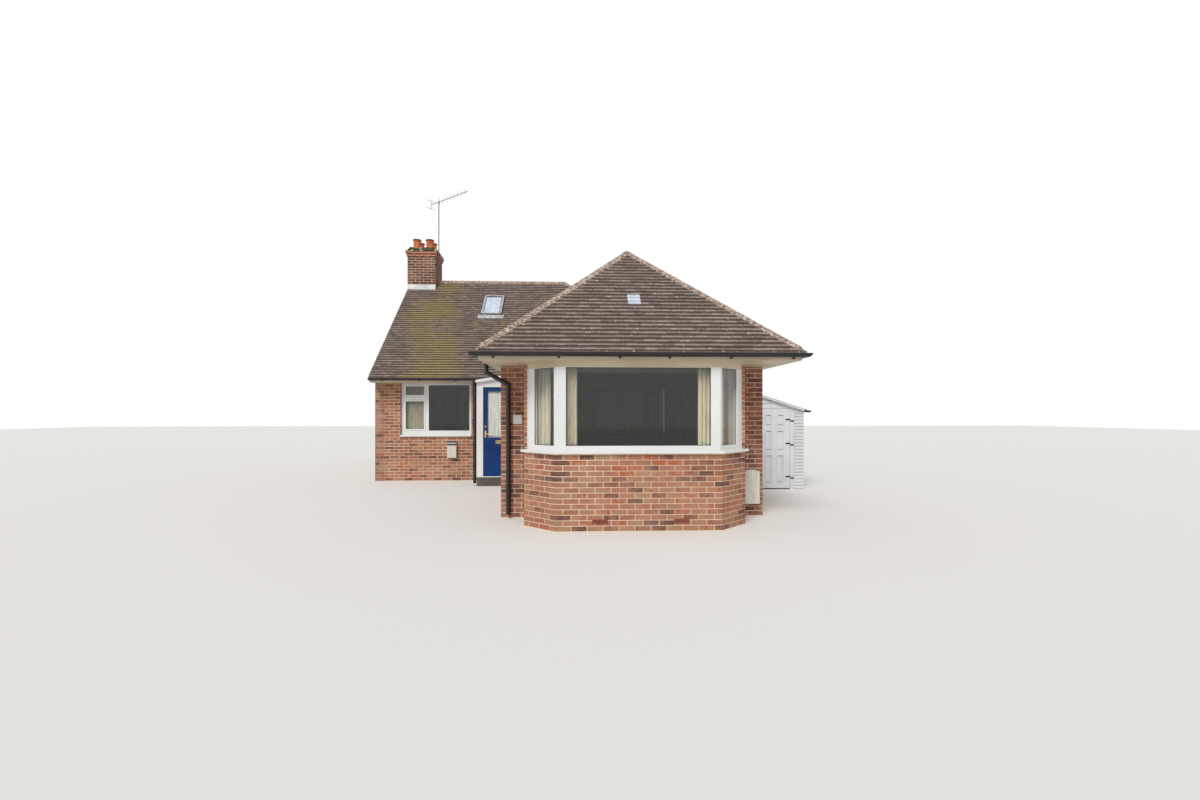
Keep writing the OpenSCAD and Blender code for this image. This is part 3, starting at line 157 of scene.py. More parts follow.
# %% Plaster on the side that faces a room, in painted shade
def plastered_in_shade(tree, where, outside):
    """The outer colour, but plaster darkened by painted shade wherever Object coordinates lie in a
    room.
    """
    at = add(tree, "ShaderNodeSeparateXYZ", {"Vector": where})
    # The wing's room begins behind its left wall, the main ones behind the recessed wall
    begun = [add(tree, "ShaderNodeMath", {0: at.outputs[axis], 1: limit},
                 operation="GREATER_THAN").outputs[0] for axis, limit in (("X", -1.8), ("Y", 0.25))]
    room = add(tree, "ShaderNodeMath", {0: begun[0], 1: begun[1]}, operation="MAXIMUM")
    # All of them end at the backs of the outer walls and at the ceiling
    for axis, side, limit in (("X", "GREATER_THAN", -5.5), ("X", "LESS_THAN", 1.8),
                              ("Y", "GREATER_THAN", -4.7), ("Y", "LESS_THAN", 5.8),
                              ("Z", "LESS_THAN", 2.42)):
        within = add(tree, "ShaderNodeMath", {0: at.outputs[axis], 1: limit}, operation=side)
        room = add(tree, "ShaderNodeMath", {0: room.outputs[0], 1: within.outputs[0]},
                   operation="MULTIPLY")
    # The plaster's dark colour is painted shade of the unlit rooms
    plaster = blotched(tree, where, 3, [(0.3, "#4c4740"), (0.7, "#5e5850")], Detail=4)[1]
    return add(tree, "ShaderNodeMix", {0: room.outputs[0], 6: outside, 7: plaster},
               data_type="RGBA").outputs[2]


print("Walls are plastered inside, up to the ceiling")

# %% Bricks and mortar
mortar, tree, shader, where = material("lime_mortar", 0.95)
# Sand and lime: pale, dull, and darker where rain has soaked it
tone = blotched(tree, where, 1.4, [(0.3, "#d9bb99"), (0.7, "#f3dcc1")], Detail=5)[1]
# Its sand is a millimetre or less, drawn as grains of about 3 mm
grit = add(tree, "ShaderNodeTexNoise", {"Vector": where, "Scale": 350, "Detail": 3})
dress(tree, shader, plastered_in_shade(tree, where, tone), grit.outputs["Fac"], 0.35)

brick_ranges = {
    # Multi-coloured stocks: pinkish brown, some plum or olive ends, a few bright orange
    "fired_brick": [(0.0, "#765146"), (0.12, "#936454"), (0.25, "#a77059"), (0.42, "#b67a62"),
                    (0.58, "#b97f66"), (0.72, "#ae8767"), (0.86, "#bd8b6b"), (0.95, "#b46e54"),
                    (1.0, "#bf6746")],
    # The same bricks high on a stack, under many years of soot and weather
    "sooted_brick": [(0.0, "#4a362e"), (0.3, "#6e4d40"), (0.6, "#815b4c"), (0.85, "#966552"),
                     (0.97, "#bd6244")],
}
bricks = {}
for name, colours in brick_ranges.items():
    bricks[name], tree, shader, where = material(name, 0.9)
    tint = add(tree, "ShaderNodeAttribute", attribute_name="tint").outputs["Fac"]
    # Flashed ends and bellies: the tone drifts by a sixth of the range over a hand's width
    flame = add(tree, "ShaderNodeTexNoise", {"Vector": where, "Scale": 11, "Detail": 3})
    drift = add(tree, "ShaderNodeMapRange", {"Value": flame.outputs["Fac"], "From Min": 0.3,
                                             "From Max": 0.7, "To Min": -0.17, "To Max": 0.17})
    toned = add(tree, "ShaderNodeMath", {0: tint, 1: drift.outputs["Result"]}, operation="ADD")
    fired = add(tree, "ShaderNodeValToRGB", {"Fac": toned.outputs[0]}, colours)
    # Creases and drag marks from the mould, about 15 mm apart
    crease, mottle = blotched(tree, where, 65, [(0.3, "#6a6a6a"), (0.62, "#ffffff")], Detail=5,
                              Roughness=0.65)
    body = add(tree, "ShaderNodeMix", {0: 0.55, 6: fired.outputs["Color"], 7: mottle},
               data_type="RGBA", blend_type="MULTIPLY")
    # Pale bloom of lime in patches of half a metre
    bloom = add(tree, "ShaderNodeTexNoise", {"Vector": where, "Scale": 2.2, "Detail": 4})
    worn = overlaid(tree, body.outputs[2], "#d9b496", bloom.outputs["Fac"], 0.5, 0.75, 0.28)
    dress(tree, shader, worn, crease, 0.5, 0.002)
print("Masonry materials:", mortar.name, *bricks)

# %% [markdown]
# ## Laying things in courses
# Bricks, tiles and boards are one small shape, repeated. A Geometry Nodes tree does the
# repeating: each point of a mesh says where a copy goes, how it is turned, how big it is
# and what tint it has. The tree puts the copies there, lets each one sit a little askew,
# as by hand, and joins them to one mesh. Which points there are is worked out in Python,
# because bricks are cut at windows, which is easier in plain numbers than in nodes.

# %% The tree that lays a pattern on points
laying = bpy.data.node_groups.new("lay_in_courses", "GeometryNodeTree")
sockets = laying.interface
sockets.new_socket(name="Geometry", in_out="INPUT", socket_type="NodeSocketGeometry")
inputs = {
    name: sockets.new_socket(name=name, in_out="INPUT", socket_type=kind).identifier
    for name, kind in {"Pattern": "NodeSocketObject", "Finish": "NodeSocketMaterial",
                       "Askew": "NodeSocketFloat", "Seed": "NodeSocketInt"}.items()
}
sockets.new_socket(name="Geometry", in_out="OUTPUT", socket_type="NodeSocketGeometry")
entry = add(laying, "NodeGroupInput")
turn = add(laying, "GeometryNodeInputNamedAttribute", {"Name": "turn"}, data_type="FLOAT_VECTOR")
size = add(laying, "GeometryNodeInputNamedAttribute", {"Name": "size"}, data_type="FLOAT_VECTOR")
chance = add(laying, "FunctionNodeRandomValue", {0: (-1, -1, -1), 1: (1, 1, 1),
             "Seed": entry.outputs["Seed"]}, data_type="FLOAT_VECTOR")
askew = add(laying, "ShaderNodeVectorMath", {0: chance.outputs[0], "Scale": entry.outputs["Askew"]},
            operation="SCALE")
turned = add(laying, "ShaderNodeVectorMath", {0: turn.outputs[0], 1: askew.outputs[0]},
             operation="ADD")
as_rotation = add(laying, "FunctionNodeEulerToRotation", {0: turned.outputs[0]})
pattern = add(laying, "GeometryNodeObjectInfo", {"Object": entry.outputs["Pattern"]})
copies = add(laying, "GeometryNodeInstanceOnPoints", {
    "Points": entry.outputs["Geometry"], "Instance": pattern.outputs["Geometry"],
    "Rotation": as_rotation.outputs[0], "Scale": size.outputs[0]})
real = add(laying, "GeometryNodeRealizeInstances", {"Geometry": copies.outputs[0]})
painted = add(laying, "GeometryNodeSetMaterial", {"Geometry": real.outputs[0],
                                                  "Material": entry.outputs["Finish"]})
add(laying, "NodeGroupOutput", {0: painted.outputs[0]})
print("Tree", laying.name, "has", len(laying.nodes), "nodes")


def shape(name, verts, quads, values=None):
    """A mesh object at the origin, with optional values for its points."""
    mesh = bpy.data.meshes.new(name)
    mesh.from_pydata([tuple(v) for v in verts], [], quads)
    for key, numbers in (values or {}).items():
        kind = "FLOAT" if isinstance(numbers[0], float) else "FLOAT_VECTOR"
        layer = mesh.attributes.new(key, kind, "POINT")
        for i, value in enumerate(numbers):
            if kind == "FLOAT":
                layer.data[i].value = value
            else:
                layer.data[i].vector = value
    made = bpy.data.objects.new(name, mesh)
    scene.collection.objects.link(made)
    return made


def belong(piece, body):
    """The piece rides on a body."""
    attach(piece, body)
    return piece


def lay(name, pattern, spots, finish, askew=0.0, seed=1):
    """One joined mesh of the pattern at every spot: (place, turn, size, tint)."""
    piece = shape(name, [s[0] for s in spots], [], {
        "turn": [tuple(s[1]) for s in spots], "size": [tuple(s[2]) for s in spots],
        "tint": [float(s[3]) for s in spots]})
    step = piece.modifiers.new("laying", "NODES")
    step.node_group = laying
    for key, value in {"Pattern": pattern, "Finish": finish, "Askew": askew, "Seed": seed}.items():
        step[inputs[key]] = value
    graph = bpy.context.evaluated_depsgraph_get()
    result = bpy.data.meshes.new_from_object(piece.evaluated_get(graph))
    piece.modifiers.clear()
    piece.data = result
    for key in ("turn", "size"):
        if key in result.attributes:
            result.attributes.remove(result.attributes[key])
    print(f"{name}: {len(spots)} copies, {len(result.polygons)} faces")
    return piece


# %% [markdown]
# ## Brickwork
# The wall itself is the CAD's solid, in the colour of the mortar. Each brick is a face
# 3 mm proud of it with worn, chamfered edges, so that light catches the joints. The bond
# is stretcher bond: courses rise by 75 mm and each one starts half a brick along. A face
# hands the bond on to the next one at the corner, where a long side on one face is the
# short end on the other, in the same tint, as it is the same brick.

# %% Work out the courses
# Height of a course, width of a joint, how far a brick stands out, how deep bricks go
# into an opening, and half a brick with its joint
course, bed, proud, reveal, half_brick = 0.075, 0.010, 0.003, 0.06, 0.1125
# The least height and length of a cut brick, and what counts as the same place
least_high, least_long, same = 0.015, 0.012, 0.001
chance = Random(7)
corner_tints = {}


def tint_at(x, y, k):
    """The tint of the brick that stands at a corner in course k."""
    return corner_tints.setdefault((round(x, 2), round(y, 2), k), chance.random())


def brick_face(start, heading, length, top, first=0, low=0.0, openings=(), out=(True, True)):
    """Spots of one wall face, left to right from outside, and the bond for the next face."""
    angle = math.radians(heading)
    along = Vector((math.cos(angle), math.sin(angle), 0))
    inward = Vector((-along.y, along.x, 0))
    origin = Vector((start[0], start[1], 0))
    halves = max(2, round((length + bed) / half_brick))
    module = (length + bed) / halves
    spots = []
    for k in range(int(low / course), int(top / course) + 1):
        z0, z1 = max(k * course + bed, low), min((k + 1) * course, top)
        if z1 - z0 < least_high:
            continue
        middle = (z0 + z1) / 2
        marks = [0.0]
        while marks[-1] < halves:
            step = 1 if len(marks) == 1 and (k + first) % 2 else 2
            marks.append(min(marks[-1] + step, halves))
        pieces = [(a * module, b * module - bed) for a, b in zip(marks, marks[1:])]
        here = [(u0, u1) for u0, u1, o0, o1 in openings if o0 - bed < middle < o1]
        for u0, u1 in here:
            pieces = [part for a, b in pieces for part in ((a, min(b, u0)), (max(a, u1), b))
                      if part[1] - part[0] > least_long]
            for u, side in ((u0, 1), (u1, -1)):
                place = origin + along * u + inward * (reveal / 2)
                spots.append((place + Vector((0, 0, middle)), (0, 0, angle + side * math.pi / 2),
                              (reveal, 1, z1 - z0), tint_at(*(origin + along * u).xy, k)))
        for a, b in pieces:
            # A brick at a corner has the tint that its other face has
            tint = chance.random()
            for u, end in ((a, 0), (b, 1)):
                edge = (0.0, length)[end]
                if abs(u - edge) < same and out[end]:
                    tint = tint_at(*(origin + along * edge).xy, k)
            for u in [u for sides in here for u in sides]:
                if min(abs(a - u), abs(b - u)) < same:
                    tint = tint_at(*(origin + along * u).xy, k)
            a -= proud if a < same and out[0] else 0
            b += proud if b > length - same and out[1] else 0
            place = origin + along * ((a + b) / 2) + Vector((0, 0, middle))
            spots.append((place, (0, 0, angle), (b - a, 1, z1 - z0), tint))
    return spots, (halves + first + 1) % 2


def brick_shape(name, length):
    """Unit brick face with a chamfer, as wide as 1 and as high as 1."""
    ring = [(-0.5, -0.5), (0.5, -0.5), (0.5, 0.5), (-0.5, 0.5)]
    cut = (0.0018 / length, 0.0018 / 0.065)
    inner = [(x - math.copysign(cut[0], x), z - math.copysign(cut[1], z)) for x, z in ring]
    verts = ([(x, 0.002, z) for x, z in ring] + [(x, -0.5 * proud, z) for x, z in ring]
             + [(x, -proud, z) for x, z in inner])
    quads = [(8, 9, 10, 11), (3, 2, 1, 0)]
    for low in (0, 4):
        quads += [(low + i, low + (i + 1) % 4, low + 4 + (i + 1) % 4, low + 4 + i)
                  for i in range(4)]
    return shape(name, verts, quads)


brick = brick_shape("brick_pattern", 0.215)
print(f"{brick.name}: {len(brick.data.polygons)} faces, courses of {1000 * course:.0f} mm")

# %% Lay the walls
# Faces of the plan, in metres, counter-clockwise seen from above
left, right, party, front, rear = -2.055, 2.055, -5.7, -4.95, 6.06
soffit_z, sill_z, sill_top, door_head = 2.35, 1.07, 1.105, 2.11
splay = math.hypot(0.46, 0.46)
# Openings along their wall, seen from outside: (from, to, lowest, highest)
windows = {
    "recess": (0.6, 2.29, sill_z, 2.4), "hall": (2.72, 3.5, 0.2, door_head),
    "side": (8.11, 9.51, sill_z, 2.4), "rear_b": (0.7, 2.1, sill_z, 2.4),
    "back_door": (3.555, 4.455, 0.2, 2.4), "rear_a": (5.455, 6.855, sill_z, 2.4),
}
walls = {}
walls["recess"], bond = brick_face((party, 0), 0, 3.645, soffit_z, 0, out=(False, False),
                                   openings=[windows["recess"], windows["hall"]])
walls["wing_left"], bond = brick_face((left, 0), -90, 4.95, soffit_z, 0, out=(False, True))
pier_a, bond = brick_face((left, front), 0, 0.415, soffit_z, bond, out=(True, False))
cheek_a, bond = brick_face((-1.64, front), -90, 0.65, soffit_z, bond, out=(False, True))
splay_a, bond = brick_face((-1.64, -5.6), -45, splay, sill_z, bond)
bay, bond = brick_face((-1.18, -6.06), 0, 2.3, sill_z, bond)
splay_b, bond = brick_face((1.12, -6.06), 45, splay, sill_z, bond)
cheek_b, bond = brick_face((1.58, -5.6), 90, 0.65, soffit_z, bond, out=(True, False))
pier_b, bond = brick_face((1.58, front), 0, 0.475, soffit_z, bond, out=(False, True))
# Darker bricks beside the bay: painted shade of the eaves, deepest on the right pier
walls["piers"] = [(place, turned, scale, 0.6 * tint) for place, turned, scale, tint in pier_a]
walls["piers"] += [(place, turned, scale, 0.3 * tint) for place, turned, scale, tint in pier_b]
# Above the sill, 43 mm of each return's end shows beside the window
end_w, returns = 0.043, []
for corner, heading, side in (((-1.64, -5.6), 22.5, 1), ((1.58, -5.6), -22.5, -1)):
    angle = math.radians(heading)
    along = Vector((math.cos(angle), math.sin(angle), 0))
    middle = Vector((*corner, 0)) + side * (end_w / 2) * along
    for k in range(int(sill_top / course), int(soffit_z / course)):
        low, high = max(sill_top, k * course + bed), (k + 1) * course
        returns.append((middle + Vector((0, 0, (low + high) / 2)), (0, 0, angle),
                        (end_w, 1, high - low), tint_at(*corner, k)))
walls["bay"] = cheek_a + splay_a + bay + splay_b + cheek_b + returns
walls["right"], bond = brick_face((right, front), 90, 11.01, soffit_z, bond,
                                  openings=[windows["side"]])
walls["rear"], bond = brick_face((right, rear), 180, 7.755, soffit_z, bond, out=(True, False),
                                 openings=[windows[w] for w in ("rear_b", "back_door", "rear_a")])
for name, spots in walls.items():
    belong(lay("bricks_" + name, brick, spots, bricks["fired_brick"]), "house")

# %% Lay the chimney stack
stack_x, stack_y0, stack_y1, stack_top = -4.91, 2.635, 3.425, 6.13
spots, bond = [], 0
# The two courses that stand out at the top are of brighter brick than the shaft
for out, low, top, base, spread in ((0, 4.875, stack_top, 0.1, 0.6),
                                    (0.0225, stack_top - 0.005, 6.205, 0.85, 0.15),
                                    (0.045, 6.2, 6.28, 0.75, 0.25)):
    x0, x1, y0, y1 = party - out, stack_x + out, stack_y0 - out, stack_y1 + out
    for corner, heading, length in (((x0, y0), 0, x1 - x0), ((x1, y0), 90, y1 - y0),
                                    ((x1, y1), 180, x1 - x0), ((x0, y1), -90, y1 - y0)):
        more, bond = brick_face(corner, heading, length, top, bond, low=low)
        spots += [(place, turned, scale, base + spread * tint)
                  for place, turned, scale, tint in more]
belong(lay("bricks_stack", brick, spots, bricks["sooted_brick"]), "house")
bpy.data.objects.remove(brick)

# %% [markdown]
# ## Roof tiles
# A plain tile is a slab of clay 165 by 265 mm and 12 mm thick. Tiles overlap so far that
# only 100 mm of each shows, and each course starts half a tile along. A slab per tile,
# tilted as it hangs, gives the stepped courses and their shadows, which no bump map
# gives at the edges of a roof. Tiles that cross a hip or the valley are cut along it.

# %% Weathered clay
clay, tree, shader, where = material("weathered_clay_tile", 0.88)
# Brown clay gone grey: pale lichen on the lower half, and a dark band under the course above,
# partly dirt and partly painted shadow of the tails
tint = add(tree, "ShaderNodeAttribute", attribute_name="tint").outputs["Fac"]
height = add(tree, "ShaderNodeAttribute", attribute_name="up").outputs["Fac"]
tone = add(tree, "ShaderNodeValToRGB", {"Fac": tint},
           [(0.0, "#796860"), (0.3, "#89786f"), (0.7, "#96857c"), (1.0, "#a3938a")])
patch, speck, crust = (
    add(tree, "ShaderNodeTexNoise", {"Vector": where, "Scale": scale, "Detail": detail,
                                     "Roughness": rough}).outputs["Fac"]
    for scale, detail, rough in ((0.9, 4, 0.5), (55, 4, 0.7), (22, 3, 0.5)))
tone = overlaid(tree, tone.outputs["Color"], "#c4b9ae", speck, 0.6, 0.72, 0.65)
# A few crusts of white lichen, as wide as a thumb
tone = overlaid(tree, tone, "#dcd4c9", crust, 0.635, 0.68, 0.75)
# Moss feeds on the chimney's run-off, in a band that drifts sideways down the slope
side = add(tree, "ShaderNodeSeparateXYZ", {"Vector": where})
drift = add(tree, "ShaderNodeMath", {0: side.outputs["Y"], 1: 0.15, 2: 4.4},
            operation="MULTIPLY_ADD")
off = add(tree, "ShaderNodeMath", {0: side.outputs["X"], 1: drift.outputs[0]}, operation="ADD")
off = add(tree, "ShaderNodeMath", {0: off.outputs[0]}, operation="ABSOLUTE")
growth = add(tree, "ShaderNodeMapRange", {
    "Value": off.outputs[0], "From Min": 0.4, "From Max": 1.1, "To Min": 0.28, "To Max": -0.2})
growth = growth.outputs["Result"]
tufts = add(tree, "ShaderNodeMath", {0: crust, 1: 0.9, 2: -0.45}, operation="MULTIPLY_ADD")
for more in (patch, tufts.outputs[0]):
    growth = add(tree, "ShaderNodeMath", {0: growth, 1: more}, operation="ADD").outputs[0]
tone = overlaid(tree, tone, "#ad9b5c", growth, 0.6, 0.9, 0.75)
# Yellow lichen below both sides of the rooflight, where water runs off its frame
crest = crust
for axis, middle, apart, near, far in (("X", -3.175, 0.36, 0.02, 0.13),
                                       ("Y", 1.27, 0, 0.05, 0.27)):
    off = side.outputs[axis]
    for away in (middle, apart):
        off = add(tree, "ShaderNodeMath", {0: off, 1: away}, operation="SUBTRACT").outputs[0]
        off = add(tree, "ShaderNodeMath", {0: off}, operation="ABSOLUTE").outputs[0]
    inside = add(tree, "ShaderNodeMapRange", {"Value": off, "From Min": far, "From Max": near})
    crest = add(tree, "ShaderNodeMath", {0: crest, 1: inside.outputs["Result"]},
                operation="MULTIPLY").outputs[0]
tone = overlaid(tree, tone, "#b3a24a", crest, 0.25, 0.5, 0.85)
# The dark band near each tile's head: partly dirt, partly painted shadow of the course above
tone = overlaid(tree, tone, "#35281f", height, 0.16, 0.45, 0.9)
dress(tree, shader, tone, speck, 0.5, 0.002)
print(clay.name, "has", len(tree.nodes), "nodes")

# %% One tile, and where tiles go on a slope
# A course's height, and a tile's width with its gap and its length with the lap
gauge, tile_w, tile_len = 0.1, 0.165, 0.132
eave_z, rise = 2.47, 0.875
pitch = math.atan(rise)
edge_x, edge_front, edge_main, edge_rear = 2.27, -6.17, -0.45, 6.51
apex, ridge_y, ridge_x, valley_y = -3.9, 3.03, -1.21, 1.82
# A tile is cambered by 1.5 mm. Its upper face is 20 mm off the slope at the foot, 4 at the head
verts, up = [], []
for y, z_top, z_low, share in ((0.0, 0.020, 0.006, 0.0), (tile_len, 0.004, -0.004, 1.0)):
    for x, camber in ((-0.081, 0.0), (0.0, 0.0015), (0.081, 0.0)):
        verts += [(x, y, z_top + camber), (x, y, z_low)]
        up += [share, share]
tile_quads = [(0, 2, 8, 6), (2, 4, 10, 8), (1, 3, 2, 0), (3, 5, 4, 2), (1, 0, 6, 7),
              (4, 5, 11, 10), (7, 9, 3, 1), (9, 11, 5, 3), (6, 8, 9, 7), (8, 10, 11, 9)]
tile = shape("tile_pattern", verts, tile_quads, {"up": up})
# Each slope: a corner of its eave, the way it faces, and its outline in plan
slopes = {
    "wing_front": ((-edge_x, edge_front), 0,
                   [(-edge_x, edge_front), (edge_x, edge_front), (0, apex)]),
    "wing_left": ((-edge_x, valley_y), -90,
                  [(-edge_x, edge_front), (0, apex), (0, valley_y), (-edge_x, edge_main)]),
    "right": ((edge_x, edge_front), 90,
              [(edge_x, edge_front), (edge_x, edge_rear), (ridge_x, ridge_y), (0, valley_y),
               (0, apex)]),
    "main_front": ((party, edge_main), 0,
                   [(party, edge_main), (-edge_x, edge_main), (0, valley_y), (ridge_x, ridge_y),
                    (party, ridge_y)]),
    "main_rear": ((edge_x, edge_rear), 180,
                  [(party, edge_rear), (party, ridge_y), (ridge_x, ridge_y), (edge_x, edge_rear)]),
}
# The rooflight on its slope: its middle and its foot, its width and its length
light_u, light_v = -3.175 - party, (1.62 - edge_main) / math.cos(pitch)
light_w, light_len = 0.55, 0.98
# Both ends of the glass tiles, from the middle of the wing, and their first course
patch_side, patch_end, patch_row = -0.1055, 0.09, 12
# The least width of a cut tile, and how far from a cut a tile is tested for it
least_tile, cut_reach = 0.01, 0.3


def slope_matrix(start, heading):
    """Local X runs along the eave, Y up the slope, Z out of the roof."""
    angle = math.radians(heading)
    along = Vector((math.cos(angle), math.sin(angle), 0))
    level = Vector((-along.y, along.x, 0))
    climb = level * math.cos(pitch) + Vector((0, 0, math.sin(pitch)))
    outward = along.cross(climb)
    turned = Matrix((along, climb, outward)).transposed().to_4x4()
    return Matrix.Translation((start[0], start[1], eave_z)) @ turned


def tile_spots(start, heading, outline, holes=()):
    """Spots of all tiles on a slope, cut short beside holes: (u0, u1, v0, v1) on the slope."""
    place = slope_matrix(start, heading)
    back = place.inverted()
    angle = math.radians(heading)
    level = Vector((-math.sin(angle), math.cos(angle)))
    flat = []
    for x, y in outline:
        run = (Vector((x, y)) - Vector(start)).dot(level)
        flat.append((back @ Vector((x, y, eave_z + rise * run))).xy)
    top = max(p.y for p in flat)
    turn = place.to_euler()
    spots = []
    for j in range(int(top / gauge) + 1):
        low, high = j * gauge, min((j + 1) * gauge, top - same)
        spans = []
        for v in (low, high):
            for a, b in zip(flat, flat[1:] + flat[:1]):
                if min(a.y, b.y) <= v <= max(a.y, b.y) and abs(a.y - b.y) > 1e-6:
                    spans.append(a.x + (b.x - a.x) * (v - a.y) / (b.y - a.y))
        if not spans:
            continue
        first = math.floor(min(spans) / tile_w) - 1
        for i in range(first, math.ceil(max(spans) / tile_w) + 1):
            a = (i + 0.5 * (j % 2)) * tile_w
            parts = [(a, a + tile_w)]
            for u0, u1, v0, v1 in holes:
                if v0 < low + gauge / 2 < v1:
                    parts = [p for s in parts
                             for p in ((s[0], min(s[1], u0)), (max(s[0], u1), s[1]))
                             if p[1] - p[0] > least_tile]
            for a, b in parts:
                if b < min(spans) or a > max(spans):
                    continue
                # A tile hangs up to 3 mm too high or low, and lifts up to 2.5 mm
                spot = Vector(((a + b) / 2, low + chance.uniform(-0.003, 0.003),
                               chance.uniform(0, 0.0025)))
                spots.append((place @ spot, turn, ((b - a) / tile_w, 1, 1), chance.random()))
    return spots


def trim(piece, outline, start, heading, held_back):
    """Cuts a slope's tiles along the upright planes through its outline, but not at the eave."""
    angle = math.radians(heading)
    along = Vector((math.cos(angle), math.sin(angle)))
    mesh = bmesh.new()
    mesh.from_mesh(piece.data)
    turns = list(zip(outline[-1:] + outline[:-1], outline, outline[1:] + outline[:1]))
    area = sum(b[0] * c[1] - c[0] * b[1] for a, b, c in turns)
    way = math.copysign(1, area)
    # At an inner corner of the outline, a cut stops at the corner
    inner = {b for a, b, c in turns
             if way * (Vector(b) - Vector(a)).cross(Vector(c) - Vector(b)) < 0}
    for a, b in zip(outline, outline[1:] + outline[:1]):
        margin = [0.0 if p in inner else cut_reach for p in (a, b)]
        gap = held_back[(a, b)]
        a, b = Vector(a), Vector(b)
        reach = (b - a).normalized()
        off_eave = abs((a - Vector(start)).cross(along)) + abs((b - Vector(start)).cross(along))
        if off_eave < 1e-6:
            continue
        outward = way * Vector((reach.y, -reach.x))
        near = []
        for face in mesh.faces:
            off = face.calc_center_median().xy - a
            if (abs(off.dot(outward)) < cut_reach
                    and -margin[0] < off.dot(reach) < (b - a).length + margin[1]):
                near.append(face)
        parts = set(near) | {e for f in near for e in f.edges} | {v for f in near for v in f.verts}
        at = a - outward * gap
        bmesh.ops.bisect_plane(mesh, geom=list(parts), plane_co=(at.x, at.y, 0),
                               plane_no=(outward.x, outward.y, 0), clear_outer=True)
    mesh.to_mesh(piece.data)
    mesh.free()


print(f"A tile has {len(tile_quads)} faces, the roof's pitch is {math.degrees(pitch):.1f} degrees")

# %% Hang the tiles
# Tiles keep 10 mm off the stack and 20 mm off the rooflight. Past_ridge is longer than a slope
past_ridge = 9
holes = {
    "main_front": [(-0.01, stack_x - party + 0.01, (stack_y0 - edge_main) / math.cos(pitch),
                    past_ridge),
                   (light_u - light_w / 2 - 0.02, light_u + light_w / 2 + 0.02, light_v,
                    light_v + light_len)],
    "main_rear": [(edge_x - stack_x - 0.01, edge_x - party + 0.01,
                   (edge_rear - stack_y1) / math.cos(pitch), past_ridge)],
    "wing_front": [(edge_x + patch_side, edge_x + patch_end, patch_row * gauge,
                    (patch_row + 3) * gauge)],
}
under_ridge, in_valley = 0.055, 0.025
for name, (start, heading, outline) in slopes.items():
    spots = tile_spots(start, heading, outline, holes.get(name, ()))
    piece = lay("tiles_" + name, tile, spots, clay, askew=0.008, seed=len(name))
    # Tiles end under the hips and ridges, short of the valley, and flush at the party wall
    held_back = {}
    for a, b in zip(outline, outline[1:] + outline[:1]):
        valley = {a, b} == {(0, valley_y), (-edge_x, edge_main)}
        held_back[(a, b)] = in_valley if valley else 0 if a[0] == b[0] == party else under_ridge
    trim(piece, outline, start, heading, held_back)
    belong(piece, "house")

# %% [markdown]
# Two slopes meet in a valley, which collects rain from both, so it's lined with a sheet of
# lead that shows as a grey stripe between the cut tiles. Near the top of the wing, three
# courses of glass tiles let daylight into the loft. They are the same pattern again.

# %% Valley lead and glass tiles
def metal(name, roughness, metallic, dark, bright, size):
    """A metal or plastic with worn patches of the given size."""
    made, tree, shader, where = material(name, roughness, Metallic=metallic)
    dress(tree, shader, blotched(tree, where, 1 / size, [(0.3, dark), (0.65, bright)], Detail=5)[1])
    return made


# Milled lead under its grey-white patina, which hides nearly all of the metal's shine
lead = metal("sheet_lead", 0.55, 0.1, "#c3c7c9", "#e6e9ea", 0.2)
valley_foot = Vector((-edge_x, edge_main, eave_z))
valley_head = Vector((0, valley_y, eave_z + rise * edge_x))
# Half the stripe's width, and how far it lies off the slopes
half, off_slope, rows = 0.07, 0.004, []
for share in (0, 1):
    for across in (-half, 0, half):
        aside = Vector((across, -across, rise * abs(across))) / math.sqrt(2)
        rows.append(valley_foot.lerp(valley_head, share) + aside + Vector((0, 0, off_slope)))
piece = belong(shape("valley_lead", rows, [(1, 0, 3, 4), (2, 1, 4, 5)]), "house")
piece.data.materials.append(lead)

# Rolled glass: milky, with a painted reflection of bluish sky in its colour
roof_glass, tree, shader, where = material("rolled_roof_glass", 0.15, IOR=1.5,
                                           Transmission_Weight=0.3)
dress(tree, shader, blotched(tree, where, 9, [(0.35, "#cfe0f6"), (0.65, "#eef5ff")], Detail=2)[1])
place, spots = slope_matrix(*slopes["wing_front"][:2]), []
# Each course has two tiles, which meet in another place
for row, joint in enumerate((0.0, -0.035, 0.015)):
    for a, b in ((patch_side, joint), (joint, patch_end)):
        spot = place @ Vector((edge_x + (a + b) / 2, (patch_row + row) * gauge, 0.001))
        spots.append((spot, place.to_euler(), ((b - a) / tile_w, 1, 1), 0.5))
piece = lay("glass_tile_courses", tile, spots, roof_glass, askew=0.004)
belong(piece, "house")
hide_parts("glass_tiles")

# %% [markdown]
# ## Materials of the carried-over pieces
# The CAD pieces keep their shape and get their real finish. Each material begins with
# what the thing is made of, because that fixes how dull or shiny it is.

# %% Painted, moulded and cast finishes
finishes = {}
plain = {
    # name: (roughness, colour where worn or dirty, main colour, size of patches in metres)
    # Oil paint on boards has a soft shine, and it yellows
    "cream_board": (0.45, "#c3b397", "#d3c6ac", 0.6),
    # Gypsum and cement are matt, and cloudy from the trowel. The ceiling and floor are darker than
    # bare plaster and screed: painted shade of the unlit rooms
    "ceiling_plaster": (0.9, "#7b766c", "#8c877c", 0.8),
    "cement_render": (0.95, "#a89c8c", "#bdb2a2", 0.7),
    "floor_screed": (0.8, "#4f483f", "#665d52", 0.5),
    # Extruded plastic keeps a clear shine, white paint goes chalky, and enamel is glass
    "white_upvc": (0.28, "#dcdddb", "#e6e7e6", 0.8),
    "white_paint": (0.5, "#d0d2d3", "#dcdde0", 0.5),
    "enamel": (0.2, "#e6e4dd", "#f4f2ec", 0.3),
    # Gloss paint on a door is deep and smooth
    "blue_gloss": (0.25, "#002a62", "#003b82", 0.5),
    # Felt is covered with grit, and clay is left unglazed, so neither has a shine
    "bitumen_felt": (0.95, "#4a4845", "#6a6763", 0.3),
    "red_clay": (0.85, "#7d3d2c", "#a2553c", 0.1),
}
